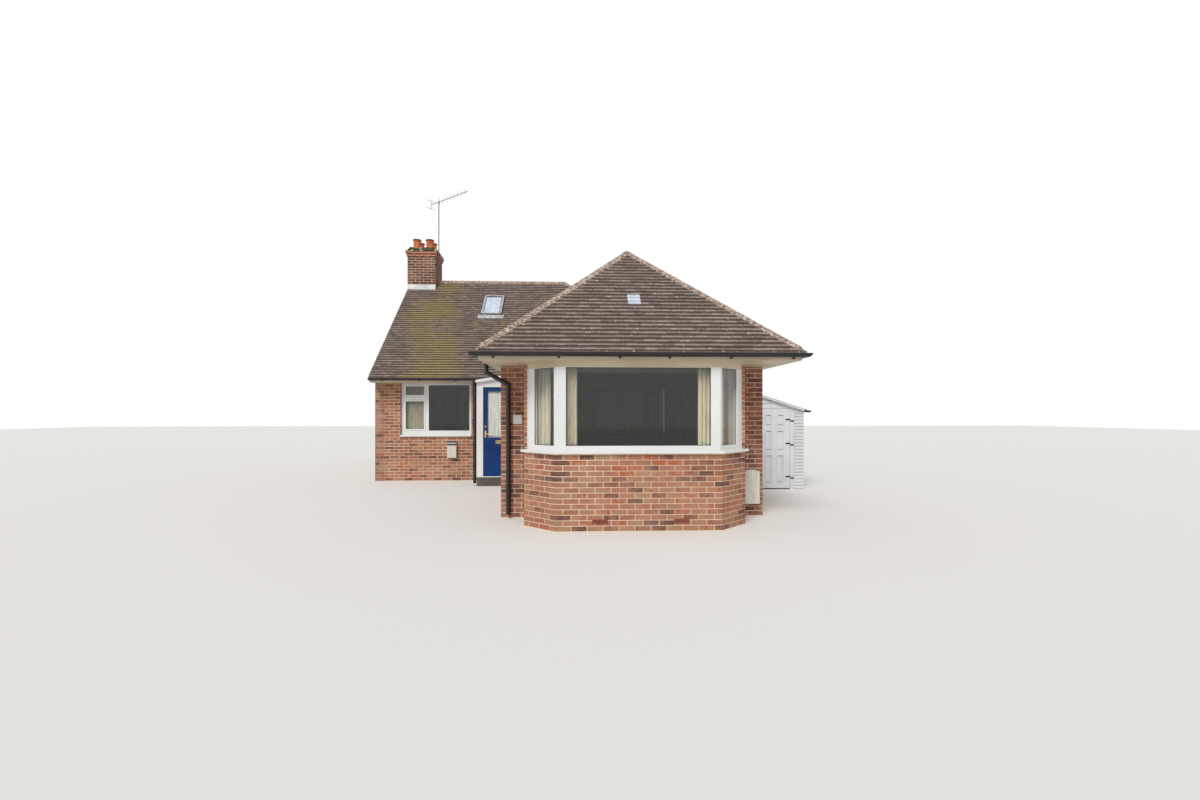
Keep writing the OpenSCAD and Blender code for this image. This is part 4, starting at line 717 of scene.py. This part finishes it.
for name, (rough, worn, main, patch) in plain.items():
    finishes[name], tree, shader, where = material(name, rough)
    colour = blotched(tree, where, 1 / patch, [(0.35, worn), (0.6, main)], Detail=6,
                      Roughness=0.6)[1]
    if name == "cement_render":
        colour = plastered_in_shade(tree, where, colour)
    if name == "blue_gloss":
        # Old gloss paint has less of a mirror in it than new
        shader.inputs["Specular IOR Level"].default_value = 0.25
    # Brush marks and grit, finer than a millimetre, drawn as grains of about 8 mm
    grain = add(tree, "ShaderNodeTexNoise", {"Vector": where, "Scale": 120, "Detail": 3})
    dress(tree, shader, colour, grain.outputs["Fac"], 0.12)

wear_size = 0.17
for name, rough, metallic, dark, bright in (
        # Plastic pipe shines softly, painted iron and rubber hardly do
        ("black_pvc", 0.32, 0.0, "#141416", "#1f1f21"),
        ("black_iron", 0.5, 0.6, "#17171a", "#26262a"),
        ("black_rubber", 0.7, 0.0, "#1b1b1c", "#2b2b2c"),
        # Bare metals mirror what is round them, hazily once they have weathered
        ("brass", 0.38, 1.0, "#8f7b55", "#cbb686"),
        ("aluminium", 0.35, 1.0, "#8b8e90", "#c3c6c8"),
        ("grey_alloy", 0.45, 0.7, "#4a4b4e", "#6d6f72")):
    finishes[name] = metal(name, rough, metallic, dark, bright, wear_size)
print("Finishes:", *finishes)

# %% [markdown]
# Some finishes change over one piece: the bay's frame is cream along its head, chimney
# pots are black with soot at the mouth, and rain draws streaks down a plastic box. Object
# coordinates say how high a point is, so they can switch or stretch a pattern.

# %% Finishes that change with height
def by_height(tree, where, low, high, below, above):
    """One colour below a height, another above it."""
    at = add(tree, "ShaderNodeSeparateXYZ", {"Vector": where})
    share = add(tree, "ShaderNodeMapRange", {"Value": at.outputs["Z"], "From Min": low,
                                             "From Max": high})
    return add(tree, "ShaderNodeMix", {0: share.outputs["Result"], 6: below, 7: above},
               data_type="RGBA").outputs[2]


# White plastic up to the top of the panes, and yellowed paint above it
framed, tree, shader, where = material("white_upvc_under_cream_head", 0.3)
wear, white = blotched(tree, where, 1.2, [(0.35, "#dcdddb"), (0.6, "#e6e7e6")], Detail=5)
cream = add(tree, "ShaderNodeValToRGB", {"Fac": wear}, [(0.35, "#c3b397"), (0.6, "#d3c6ac")])
dress(tree, shader, by_height(tree, where, 2.258, 2.26, white, cream.outputs["Color"]))

# Thrown clay pots: orange, blotched, and black from 30 mm below the mouth
pot_clay, tree, shader, where = material("sooted_terracotta", 0.8)
blot, thrown = blotched(tree, where, 8, [(0.3, "#9a5236"), (0.5, "#c4693f"), (0.7, "#d08a4a")],
                        Detail=5)
soot = add(tree, "ShaderNodeValToRGB", {"Fac": blot}, [(0.3, "#2f2421"), (0.7, "#5b3a30")])
dress(tree, shader, by_height(tree, where, 6.615, 6.645, thrown, soot.outputs["Color"]))

# Moulded grey plastic left outdoors: chalky, streaked by rain about 60 mm apart
boxy, tree, shader, where = material("weathered_plastic", 0.55)
drawn = add(tree, "ShaderNodeMapping", {"Vector": where, "Scale": (16, 16, 1.6)})
streaks = [(0.28, "#8f8b80"), (0.42, "#c9c6bc"), (0.7, "#dedbd2")]
dress(tree, shader, blotched(tree, drawn.outputs[0], 1, streaks, Detail=5)[1])
print("Finishes that change with height:", framed.name, pot_clay.name, boxy.name)

# %% Ridge clay and window glass
# Half-round hip and ridge tiles: pinkish clay under pale lichen and yellow moss
hip, tree, shader, where = material("lichened_ridge_clay", 0.92)
crusts = [(0.3, "#46362e"), (0.4, "#735b4f"), (0.48, "#927a6c"), (0.55, "#b7a495"),
          (0.6, "#e4dacf"), (0.67, "#a48c7c"), (0.78, "#998a52")]
blot, tone = blotched(tree, where, 24, crusts, Detail=6, Roughness=0.7)
dress(tree, shader, tone, blot, 0.6, 0.004)

# Window glass: clear, smooth, and letting lamps through to what stands behind it
glass, tree, shader, where = material("window_glass", 0.0, Transmission_Weight=1.0, IOR=1.45)
shader.inputs["Base Color"].default_value = linear("#e3e5e2")
clear = add(tree, "ShaderNodeBsdfTransparent", {"Color": linear("#ebebe9")})
path = add(tree, "ShaderNodeLightPath")
both = add(tree, "ShaderNodeMixShader", {
    0: path.outputs["Is Shadow Ray"], 1: shader.outputs["BSDF"], 2: clear.outputs["BSDF"]})
tree.links.new(both.outputs[0], tree.nodes["Material Output"].inputs["Surface"])
print("Made", hip.name, "and", glass.name)

# %% [markdown]
# ## Curtains and nets
# A curtain is wider than its window, and hangs in folds. Its real size is its flat width,
# which is the length of the wavy line that its folds draw on the floor. A cloth
# simulation could find such folds, but hanging folds are so regular that a wave along the
# track, deeper in some folds than in others, is quicker and lies where it should. The
# weave follows the cloth, so each point carries its place across and down the flat cloth.

# %% Woven cloth
def woven(name, dark, pale, thread):
    """Cloth whose threads run along its attributes, across and down, a thread width apart."""
    made, tree, shader, where = material(name, 0.9, Sheen_Weight=0.1)
    across, down = (add(tree, "ShaderNodeAttribute", attribute_name=way).outputs["Fac"]
                    for way in ("across", "down"))
    flat = add(tree, "ShaderNodeCombineXYZ", {"X": across, "Y": down})
    slub = add(tree, "ShaderNodeMapping", {"Vector": flat.outputs[0], "Scale": (60, 3, 1)})
    tone = blotched(tree, slub.outputs[0], 1, [(0.3, dark), (0.7, pale)], Detail=4)[1]
    # Threads of 0.4 mm are too fine to show, so they are drawn several times as wide. A wave
    # of scale 1 has a band every 0.31 m
    warp, weft = (add(tree, "ShaderNodeTexWave", {"Vector": flat.outputs[0],
                                                  "Scale": 0.31 / thread}, bands_direction=way)
                  for way in "XY")
    weave = add(tree, "ShaderNodeMath", {0: warp.outputs["Fac"], 1: weft.outputs["Fac"]},
                operation="ADD")
    dress(tree, shader, tone, weave.outputs[0], 0.3)
    return made


# Cotton is matt with a soft bloom on its folds, clean net is whiter, and old net has greyed
cotton = woven("woven_cotton", "#c6be9f", "#ded7bf", 0.004)
net = woven("white_net", "#cdcac5", "#f0eeea", 0.003)
old_net = woven("grey_net", "#8f8a74", "#b3ac92", 0.003)
print("Cloths:", cotton.name, net.name, old_net.name)


def hang(name, ends, high, low, folds, depth, finish, body, seed):
    """A gathered sheet between two points of the plan, from high to low."""
    dice = Random(seed)
    a, b = (Vector(p) for p in ends)
    along = (b - a).normalized()
    across, width = Vector((-along.y, along.x)), (b - a).length
    # Rows down the sheet, points along one fold, and points along a row
    rows, steps = 12, 10
    row = folds * steps + 1
    # No two folds are equally deep, and each one leans a little
    deep = [depth * dice.uniform(0.65, 1) for _ in range(folds)]
    lean = [dice.uniform(-0.05, 0.05) for _ in range(folds + 1)]
    verts, quads, wide, tall = [], [], [], []
    for r in range(rows + 1):
        share, gone = r / rows, 0.0
        for s in range(row):
            k, t = divmod(s, steps)
            wave = math.sin(2 * math.pi * t / steps)
            # Folds are tight at the tape and open further down
            off = deep[min(k, folds - 1)] * (0.7 + 0.3 * min(1, 4 * share)) * wave
            step = s / steps + 0.1 * math.sin(4 * math.pi * t / steps)
            if 0 < k < folds:
                step += share * (lean[k] + (lean[k + 1] - lean[k]) * t / steps)
            spot = a + along * (step * width / folds) + across * off
            verts.append((spot.x, spot.y, high + (low - high) * share))
            gone += (Vector(verts[-1]) - Vector(verts[-2])).length if s else 0
            wide.append(float(gone))
            tall.append(float((high - low) * share))
    for i in range(rows * row):
        if (i + 1) % row:
            quads.append((i + row, i + row + 1, i + 1, i))
    piece = shape(name, verts, quads, {"across": wide, "down": tall})
    belong(piece, body)
    piece.data.polygons.foreach_set("use_smooth", [True] * len(quads))
    piece.data.materials.append(finish)
    skin = piece.modifiers.new("cloth", "SOLIDIFY")
    skin.thickness, skin.offset = 0.0012, 0
    return piece


# %% Hang them
# Plan points 170 mm behind the brick faces of the bay
bay_line = [(-1.47, -5.5296), (-1.1096, -5.89), (1.0496, -5.89), (1.41, -5.5296)]
near_left = Vector(bay_line[0]).lerp(Vector(bay_line[1]), 0.62)
near_right = Vector(bay_line[2]).lerp(Vector(bay_line[3]), 0.5)
for name, ends, folds, depth, high, low in (
        ("curtain_bay_left", [bay_line[1], (-0.878, -5.89)], 4, 0.014, 2.3245, 1.116),
        ("curtain_bay_right", [(0.818, -5.89), bay_line[2]], 4, 0.014, 2.3245, 1.116),
        ("curtain_splay_left", [bay_line[0], near_left], 4, 0.016, 2.3245, 1.116),
        ("curtain_splay_right", [bay_line[2], near_right], 3, 0.016, 2.3245, 1.116),
        ("curtain_rear_a", [(-3.301, 5.74), (-4.899, 5.74)], 18, 0.015, 2.3365, 0.971),
        ("curtain_rear_b", [(1.454, 5.74), (-0.144, 5.74)], 18, 0.015, 2.3365, 0.971),
        ("curtain_side", [(1.735, 3.061), (1.735, 4.659)], 18, 0.015, 2.3365, 0.971)):
    piece = hang(name, ends, high, low, folds, depth, cotton, "house",
                 len(name) + folds)
    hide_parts("curtains")
hang("net_front_door", [(-2.862, -1.004), (-2.206, -1.004)], 2.14, 1.056, 14, 0.0028, net,
     "front_door_leaf", 5)
hang("net_recess", [(-5.03, 0.145), (-4.5, 0.145)], 2.31, 1.16, 9, 0.006, old_net,
     "house", 6)

# %% [markdown]
# ## Dressing the CAD pieces
# Each finish goes to the pieces that are made of it. Only the material slots change, so
# the shapes and sizes of the model stay as they were packed.

# %% Give every CAD piece its finish
worn_by = {
    mortar: ["rear_wall", "right_wall", "wing_left_wall", "wing_front_wall", "recess_wall",
             "recess_pier", "doorway_lintel", "bay_plinth", "bay_cheeks", "chimney_stack"],
    clay: ["roof_wing_front", "roof_wing_left", "roof_right", "roof_main_front", "roof_main_rear"],
    hip: ["hip_tiles", "ridge_tiles"],
    glass: ["bay_glass", "window_glass", "front_door_glass"],
    roof_glass: ["rooflight_glass", "glass_tiles"],
    finishes["cement_render"]: ["party_wall"],
    finishes["ceiling_plaster"]: ["ceiling", "bay_beam"],
    finishes["floor_screed"]: ["floor_slab", "porch_floor"],
    finishes["cream_board"]: ["soffit", "fascia"],
    framed: ["bay_frame"],
    finishes["white_upvc"]: ["bay_sill", "window_frames", "window_sills", "porch_frame",
                             "porch_screen", "porch_roof", "back_door", "curtain_track"],
    finishes["white_paint"]: ["lean_to_front", "lean_to_walls", "side_door"],
    finishes["bitumen_felt"]: ["lean_to_roof"],
    lead: ["lead_flashing"],
    pot_clay: ["chimney_pots"],
    finishes["red_clay"]: ["airbricks"],
    finishes["black_pvc"]: ["gutters", "downpipes"],
    finishes["black_iron"]: ["side_door_hinges"],
    finishes["brass"]: ["front_door_fittings"],
    finishes["aluminium"]: ["rooflight_frame"],
    finishes["grey_alloy"]: ["aerial"],
    finishes["blue_gloss"]: ["front_door"],
    boxy: ["meter_boxes"],
    cotton: ["curtains"],
    finishes["enamel"]: ["plaque"],
}
for finish, names in worn_by.items():
    for name in names:
        slots = node[name].material_slots
        for slot in slots:
            slot.material = finish
        if not slots:
            node[name].data.materials.append(finish)
print("Finished CAD nodes:", sum(len(names) for names in worn_by.values()))

# %% [markdown]
# ## Joinery trims
# Panes sit in black rubber gaskets, and a light that opens has a sash, a second frame that
# stands 12 mm proud of the fixed one. Both are rectangular rings in the plane of a wall, so
# one function makes them all.

# %% Rings round the panes
def wall_point(start, heading, u, z, inward):
    """A point of a wall face: along it, its height, and how far behind it."""
    angle = math.radians(heading)
    return Vector((start[0] + u * math.cos(angle) - inward * math.sin(angle),
                   start[1] + u * math.sin(angle) + inward * math.cos(angle), z))


def ring(start, heading, box, border, back, proud):
    """Corners and faces of a frame: (u0, u1, z0, z1), its width, the depth of its back."""
    u0, u1, z0, z1 = box
    verts, quads = [], []
    for inward in (back, back - proud):
        for b in (0, border):
            for u, z in ((u0 + b, z0 + b), (u1 - b, z0 + b), (u1 - b, z1 - b), (u0 + b, z1 - b)):
                verts.append(wall_point(start, heading, u, z, inward))
    for i in range(4):
        j = (i + 1) % 4
        quads += [(8 + i, 8 + j, 12 + j, 12 + i), (i, j, 8 + j, 8 + i),
                  (12 + i, 12 + j, 4 + j, 4 + i), (4 + i, 4 + j, j, i)]
    return verts, quads


def merged(parts):
    """Corners and faces of several (corners, faces) in one."""
    verts, quads = [], []
    for more, sides in parts:
        quads += [tuple(i + len(verts) for i in side) for side in sides]
        verts += more
    return verts, quads


def joined(name, parts, finish, body):
    """One piece of several (corners, faces)."""
    piece = belong(shape(name, *merged(parts)), body)
    piece.data.materials.append(finish)
    print(name + ":", len(parts), "parts")
    return piece


# How far behind the wall's face the glass of a plain window lies
wall_window = 0.083
# Panes: (from, to, lowest, highest) from the left end of their window or wall
panes = [((-1.18, -6.06), 0, (0.145, 2.155, 1.173, 2.255), 0.063),
         ((-1.64, -5.6), -45, (0.1705, 0.5805, 1.173, 2.255), 0.063),
         ((1.12, -6.06), 45, (0.07, 0.48, 1.173, 2.255), 0.063),
         ((-5.1, 0), 0, (0.111, 0.543, 2.068, 2.274), wall_window),
         ((-5.1, 0), 0, (0.111, 0.543, 1.245, 1.912), wall_window),
         ((-5.1, 0), 0, (0.656, 1.63, 1.206, 2.305), wall_window)]
sashes = [((-5.1, 0), 0, (0.075, 0.579, 2.032, 2.31)), ((-5.1, 0), 0, (0.075, 0.579, 1.209, 1.948))]
for start, heading in (((1.355, rear), 180), ((-3.4, rear), 180), ((right, 3.16), 90)):
    for u in (0.06, 0.73):
        panes.append((start, heading, (u, u + 0.61, 1.165, 2.302), wall_window))
    sashes.append((start, heading, (0.694, 1.376, 1.129, 2.338)))
for u in (0.06, 0.535):
    for z in (0.26, 1.06):
        panes.append(((-3.1, 0), -90, (u, u + 0.415, z, (1.0, 2.22)[z > 1]), 0.023))
joined("gaskets", [ring(start, heading, box, 0.006, glass_at, 0.004)
                   for start, heading, box, glass_at in panes],
       finishes["black_rubber"], "house")
piece = joined("opening_sashes", [ring(start, heading, box, 0.036, 0.061, 0.013)
                                  for start, heading, box in sashes],
               finishes["white_upvc"], "house")
worn_edge = piece.modifiers.new("worn_edge", "BEVEL")
worn_edge.width, worn_edge.segments = 0.003, 2

# A slim rod carries the net of the recessed window
joined("net_rod", [ring((-5.06, 0.14), 0, (0, 0.6, 2.304, 2.314), 0.0049, 0.004, 0.008)],
       finishes["white_upvc"], "house")

# %% [markdown]
# ## Gutter brackets, boards and small clay
# These repeat at a regular pitch, so they are patterns on points again: a strap and lug
# under the gutter at every rafter or two, feather-edged boards on the lean-to, the slots
# of an air brick, and cushions of moss on the chimney's mortar cap.

# %% Patterns
def bar(profile, x0=-0.5, x1=0.5):
    """A profile (y, z), clockwise seen from its right end, drawn out along X."""
    n = len(profile)
    verts = [(x, y, z) for x in (x0, x1) for y, z in profile]
    quads = [(i, i + n, (i + 1) % n + n, (i + 1) % n) for i in range(n)]
    return verts, quads + [tuple(range(n)), tuple(range(2 * n - 1, n - 1, -1))]


def plank(x0, x1, y0, y1, z0, z1):
    """A plain board between three pairs of limits."""
    return bar([(y1, z0), (y0, z0), (y0, z1), (y1, z1)], x0, x1)


def pattern_of(name, parts):
    """An unseen mesh of closed parts, its faces turned outwards, to be laid on points."""
    made = shape(name, *merged(parts))
    mesh = bmesh.new()
    mesh.from_mesh(made.data)
    bmesh.ops.recalc_face_normals(mesh, faces=mesh.faces)
    mesh.to_mesh(made.data)
    mesh.free()
    return made


# A strap 26 mm wide and 4.5 mm thick under the gutter, and the lug behind it
arc = [math.radians(180 + 18 * i) for i in range(11)]
strap = [(0.0595 * math.cos(t), 0.0595 * math.sin(t)) for t in arc]
strap += [(0.055 * math.cos(t), 0.055 * math.sin(t)) for t in reversed(arc)]
lug = [(0.036, -0.071), (0.053, -0.077), (0.053, -0.04), (0.036, -0.04)]
bracket = pattern_of("bracket_pattern", [bar(strap, -0.013, 0.013), bar(lug, -0.017, 0.017)])
board_pitch = 0.07
# Each board stands 9 mm proud at its lower edge, over a groove of 9 mm
board = pattern_of("board_pattern", [bar([(0.001, 0.007), (-0.008, 0.009), (-0.009, 0.012),
                                          (-0.006, board_pitch - 0.001), (0.001, board_pitch)])])
slot_hole = pattern_of("slot_pattern", [bar([(0.002, -0.5), (-0.0006, -0.5), (-0.0006, 0.5),
                                             (0.002, 0.5)])])
print("Patterns:", bracket.name, board.name, slot_hole.name)

# %% Brackets under the gutters
# The gutter's axis: its height, and how far it lies off the fascia
gutter_z, gutter_out = 2.444, 0.053
runs = [((-2.22, -6.12), 0, [0.21, 1.09, 1.92, 2.6, 3.45, 4.32]),
        ((2.22, -6.12), 90, [0.5 + 0.84 * i for i in range(15)]),
        ((2.22, 6.46), 180, [0.4 + 0.82 * i for i in range(10)]),
        ((-2.22, -0.4), -90, [0.55 + 0.83 * i for i in range(7)]),
        ((party, -0.4), 0, [0.3, 1.15, 2.0, 2.45])]
spots = [(wall_point(start, heading, u, gutter_z, -gutter_out), (0, 0, math.radians(heading)),
          (1, 1, 1), 0.5) for start, heading, marks in runs for u in marks]
belong(lay("gutter_brackets", bracket, spots, finishes["black_pvc"]), "house")

# %% Boards on the lean-to
# Its right, front and rear face, the top of its boards at the house, and its roof's fall
lean_x, lean_y, lean_end, lean_top, fall = 3.98, -1.88, 0.62, 2.293, 0.32
board_foot, board_rows, least_board = 0.004, 33, 0.03
doorway, doorway_top = (2.985, 3.775), 1.76
# Weatherboards in old white paint, grey at the foot of each board: partly grime, partly painted
# shade under each lap
lapped, tree, shader, where = material("weatherboard_paint", 0.55)
tone = blotched(tree, where, 2.5, [(0.35, "#d0d2d3"), (0.6, "#dcdde0")], Detail=5)[1]
# How high a point is on its own board, from 0 to 1
within = add(tree, "ShaderNodeSeparateXYZ", {"Vector": where}).outputs["Z"]
for operation, value in (("MULTIPLY", 1 / board_pitch), ("SUBTRACT", board_foot / board_pitch),
                         ("FRACT", 0)):
    within = add(tree, "ShaderNodeMath", {0: within, 1: value}, operation=operation).outputs[0]
dress(tree, shader, overlaid(tree, tone, "#85888a", within, 0.27, 0.2, 0.7))

spots = []
for k in range(board_rows):
    low = board_foot + k * board_pitch
    high = low + board_pitch
    # The roof slopes, so a course ends where the roof comes down to it
    reach = min(lean_x, right + (lean_top - high) / fall)
    pieces = [(lean_y, 0, right + 0.002, reach)]
    if low < doorway_top:
        pieces = [(lean_y, 0, right + 0.002, doorway[0]), (lean_y, 0, doorway[1], reach)]
    pieces.append((lean_end, 180, right + 0.002, reach))
    for y, heading, a, b in pieces:
        if b - a > least_board:
            spots.append((((a + b) / 2, y, low), (0, 0, math.radians(heading)), (b - a, 1, 1),
                          0.5))
    if high < lean_top - fall * (lean_x - right):
        spots.append(((lean_x, (lean_y + lean_end) / 2, low), (0, 0, math.pi / 2),
                      (lean_end - lean_y, 1, 1), 0.5))
belong(lay("lean_to_boards", board, spots, lapped), "house")

# White boards line the roof's overhang at both ends, below a thin dark edge of felt
low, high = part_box("lean_to_roof")
under = 2.295
verge = []
for edge, wall, out in ((low[1], lean_y, -1), (high[1], lean_end, 1)):
    for y0, y1, z0, z1 in ((edge - 0.001 * out, edge + 0.008 * out, -0.004, 0.03),
                           (edge, wall + 0.011 * out, -0.004, -0.0005)):
        verts, quads = plank(right + 0.004, lean_x, min(y0, y1), max(y0, y1), z0, z1)
        verge.append(([(x, y, z + under - fall * (x - right)) for x, y, z in verts], quads))
joined("verge_boards", verge, finishes["white_paint"], "house")
plates = [plank(3.686, 3.7695, -1.8862, -1.8845, z, z + 0.03) for z in (0.226, 0.934, 1.444)]
joined("hinge_plates", plates, finishes["black_iron"], "house")

# %% [markdown]
# ## Doors and rooflight
# A panelled door is a frame of thick rails round thin panels, with a moulding where they meet, and
# a rooflight sits in black channels over a sheet of lead that sheds the rain. Some of the dark
# lines on the side door, the small box and the rooflight are painted shade.
# These trims are a few millimetres thick, too small to be worth a solid of their own in
# the CAD, and each is a plain board or ring, so they're built from corner points. What
# is on a door rides on the door's own body.

# %% Mouldings of the side door and the lid of the small box, with lines of painted shade
door_left, rim_w = 3.02, 0.018
# Each panel: its left edge from the door's own, its lowest and its highest point
panels = [(u, z0, z1) for u in (0.127, 0.383)
          for z0, z1 in ((0.161, 0.739), (0.853, 1.262), (1.385, 1.606))]
panel_w = 0.15
mouldings = [ring((door_left, lean_y), 0, (u, u + panel_w, z0, z1), rim_w, 0.001, 0.007)
             for u, z0, z1 in panels]
joined("panel_mouldings", mouldings, finishes["white_paint"], "side_door_leaf")
# A dark line along the upper and lower edge of each panel is painted shade of the mouldings
moulding_shade, line_h = metal("painted_shade_under_mouldings", 0.9, 0.0, "#6d6f70", "#8b8d8e", 0.05), 0.011
lines = [plank(door_left + u + rim_w, door_left + u + panel_w - rim_w, -1.8815, -1.8795, z,
               z + line_h)
         for u, z0, z1 in panels for z in (z1 - rim_w - line_h, z0 - line_h)]
joined("panel_dirt", lines, moulding_shade, "side_door_leaf")
# Two dark strips across the small box: painted shadow of the gaps at its lid
lid = [plank(-3.972, -3.754, -0.104, -0.099, z, z + 0.034) for z in (0.858, 0.922)]
joined("box_lid", lid, finishes["black_rubber"], "house")

# %% Back door: two moulded panels, a handle and a threshold
moulded = [ring((-1.5, rear), 180, box, 0.025, 0.0722, 0.009)
           for box in ((0.17, 0.73, 1.25, 2.15), (0.17, 0.73, 0.42, 1.05))]
joined("back_door_panels", moulded, finishes["white_upvc"], "house")
handle = [plank(-1.61, -1.58, 5.9885, 5.9945, 1.04, 1.26),
          plank(-1.73, -1.585, 6.012, 6.022, 1.15, 1.168),
          plank(-1.605, -1.585, 5.99, 6.014, 1.15, 1.168),
          plank(-2.398, -1.502, 6.001, 6.0625, 0.2, 0.212)]
joined("back_door_handle", handle, finishes["aluminium"], "house")

# %% Rooflight: gutter channels and gasket, partly painted shade, and apron
place = slope_matrix(*slopes["main_front"][:2])
# Its middle and foot on the slope, half its width, and the width of its rails
u, v, half, rail = light_u, light_v, light_w / 2, 0.058


def on_slope(parts):
    """The same parts, moved from the slope's own axes to their place on it."""
    return [([place @ Vector(spot) for spot in verts], quads) for verts, quads in parts]


# Black channels outside the frame, and black rubber inside it, widest at the head. The bar at the
# foot is painted shade on the frame's front face, and the wide strip at the head is painted shadow
# under the top rail
channel, rubber, rubber_and_shadow_at_head, glass_z = 0.016, 0.014, 0.045, 0.0472
dark = [plank(u - half, u + half, v - channel, v - 0.001, 0.018, 0.05),
        plank(u - half - channel, u - half - 0.001, v, v + light_len, 0.0, 0.036),
        plank(u + half + 0.001, u + half + channel, v, v + light_len, 0.0, 0.036),
        plank(u - half + rail, u + half - rail, v + light_len - rail - rubber_and_shadow_at_head,
              v + light_len - rail, glass_z, 0.051)]
dark += [plank(u0, u0 + rubber, v + rail, v + light_len - rail - rubber_and_shadow_at_head - 0.002, glass_z,
               0.049)
         for u0 in (u - half + rail, u + half - rail - rubber)]
joined("rooflight_gasket", on_slope(dark), finishes["black_rubber"], "house")

# Lead dressed over two courses of tiles, in shallow waves. It reaches 70 mm past the frame at
# each side, and its edges close it to a thin slab
verts, quads, steps, rows = [], [], 14, 5
wider, length, thin = 0.07, 0.184, (0.0245, 0.0268)
for w in thin:
    for i in range(steps + 1):
        for j in range(rows):
            wave = 0.0014 * math.sin(2.3 * i) + 0.001 * math.sin(1.7 * i + 2 * j)
            verts.append(((u - half - wider) + (light_w + 2 * wider) * i / steps,
                          v - length - channel + length * j / (rows - 1), w + wave))
layer = rows * (steps + 1)
for i in range(steps):
    for j in range(rows - 1):
        a = rows * i + j
        quads += [(layer + a, layer + a + rows, layer + a + rows + 1, layer + a + 1),
                  (a, a + 1, a + rows + 1, a + rows)]
edge = ([rows * i for i in range(steps + 1)] + [rows * steps + j for j in range(1, rows)]
        + [rows * i + rows - 1 for i in range(steps - 1, -1, -1)] + [3, 2, 1])
quads += [(a, b, layer + b, layer + a) for a, b in zip(edge, edge[1:] + edge[:1])]
# Old lead, duller and greyer than the sheet in the valley
dull_lead = metal("dull_sheet_lead", 0.65, 0.1, "#8b8885", "#c3c4c5", 0.12)
joined("rooflight_apron", on_slope([(verts, quads)]), dull_lead, "house")

# %% Slots of the air bricks: dark plates of painted shade in the holes
spots = [((middle + 0.021 * i, -6.066, 0.1375), (0, 0, 0), (0.007, 1, 0.046), 0.5)
         for middle in (-0.5691, 0.5586) for i in range(-4, 5)]
belong(lay("airbrick_slots", slot_hole, spots, finishes["black_rubber"]), "house")

# %% Moss on the mortar cap
# Moss is dark between its tufts and yellow-green on top, and never shines
green, tree, shader, where = material("cushion_moss", 1.0)
tuft, tone = blotched(tree, where, 90, [(0.3, "#2a2c16"), (0.5, "#4c4d29"), (0.7, "#7b7750")],
                      Detail=4)
dress(tree, shader, tone, tuft, 0.9, 0.006)
mesh = bmesh.new()
bmesh.ops.create_icosphere(mesh, subdivisions=2, radius=1)
for vert in mesh.verts:
    vert.co *= chance.uniform(0.8, 1.1)
cushion = shape("moss_pattern", [], [])
mesh.to_mesh(cushion.data)
mesh.free()
# The cap: its middle, its foot, half its width, and how far and how high its edge slopes
cap_x, cap_y, cap_z, cap_half, cap_in, cap_rise = -5.305, 3.03, 6.28, 0.44, 0.09, 0.11
cushions, spots = 96, []
for i in range(cushions):
    # Most of it on the front edge, which rain keeps wet
    heading = (0, 0, 0, 90, 0, 0, 180)[i % 7]
    start = wall_point((cap_x, cap_y), heading, 0, 0, -cap_half)
    in_from_edge = chance.uniform(0.012, cap_in)
    u = chance.uniform(-0.36, 0.36) if heading != 0 or i % 4 else chance.uniform(0.05, 0.3)
    z = cap_z + 0.9 * cap_rise * in_from_edge / cap_in
    spot = wall_point(start.xy, heading, u, z, in_from_edge)
    wide = chance.uniform(0.025, 0.055) if heading else chance.uniform(0.03, 0.07)
    spots.append((spot, (0, 0, chance.random()), (wide, 0.7 * wide, 0.6 * wide), 0.5))
belong(lay("moss_cushions", cushion, spots, green), "house")
for unused in (bracket, board, slot_hole, cushion):
    bpy.data.objects.remove(unused)

# %% [markdown]
# ## Studio
# A pale floor and an even white surround, as for a model on a table. Most of the light
# comes from all around, and one large soft lamp from the front gives the shadows under
# the eaves.

# %% Floor and light
far = 60
floor = shape("studio_floor", [(-far, -far, 0), (far, -far, 0), (far, far, 0), (-far, far, 0)],
              [(0, 1, 2, 3)])
# Matt paint, which mirrors nothing
pale, tree, shader, where = material("studio_floor", 0.9)
shader.inputs["Base Color"].default_value = linear("#e9e7e3")
floor.data.materials.append(pale)

world = bpy.data.worlds.new("studio")
scene.world = world
world.use_nodes = True
tree = world.node_tree
tree.nodes.clear()
path = add(tree, "ShaderNodeLightPath")
shown = path.outputs["Is Camera Ray"]
for ray in ("Is Glossy Ray", "Is Transmission Ray"):
    shown = add(tree, "ShaderNodeMath", {0: shown, 1: path.outputs[ray]},
                operation="MAXIMUM").outputs[0]
around = add(tree, "ShaderNodeBackground", {"Color": (1, 1, 1, 1), "Strength": 0.5})
white = add(tree, "ShaderNodeBackground", {"Color": (1, 1, 1, 1), "Strength": 1.0})
chosen = add(tree, "ShaderNodeMixShader", {0: shown, 1: around.outputs[0], 2: white.outputs[0]})
add(tree, "ShaderNodeOutputWorld", {"Surface": chosen.outputs[0]})

lamp = bpy.data.objects.new("key", bpy.data.lights.new("key", "SUN"))
scene.collection.objects.link(lamp)
lamp.data.energy = 2.0
lamp.data.angle = math.radians(25)
lamp.rotation_euler = (math.radians(46), 0, math.radians(-22))
print("Key lamp strength", lamp.data.energy)

# %% Remove the tile pattern
bpy.data.objects.remove(tile)
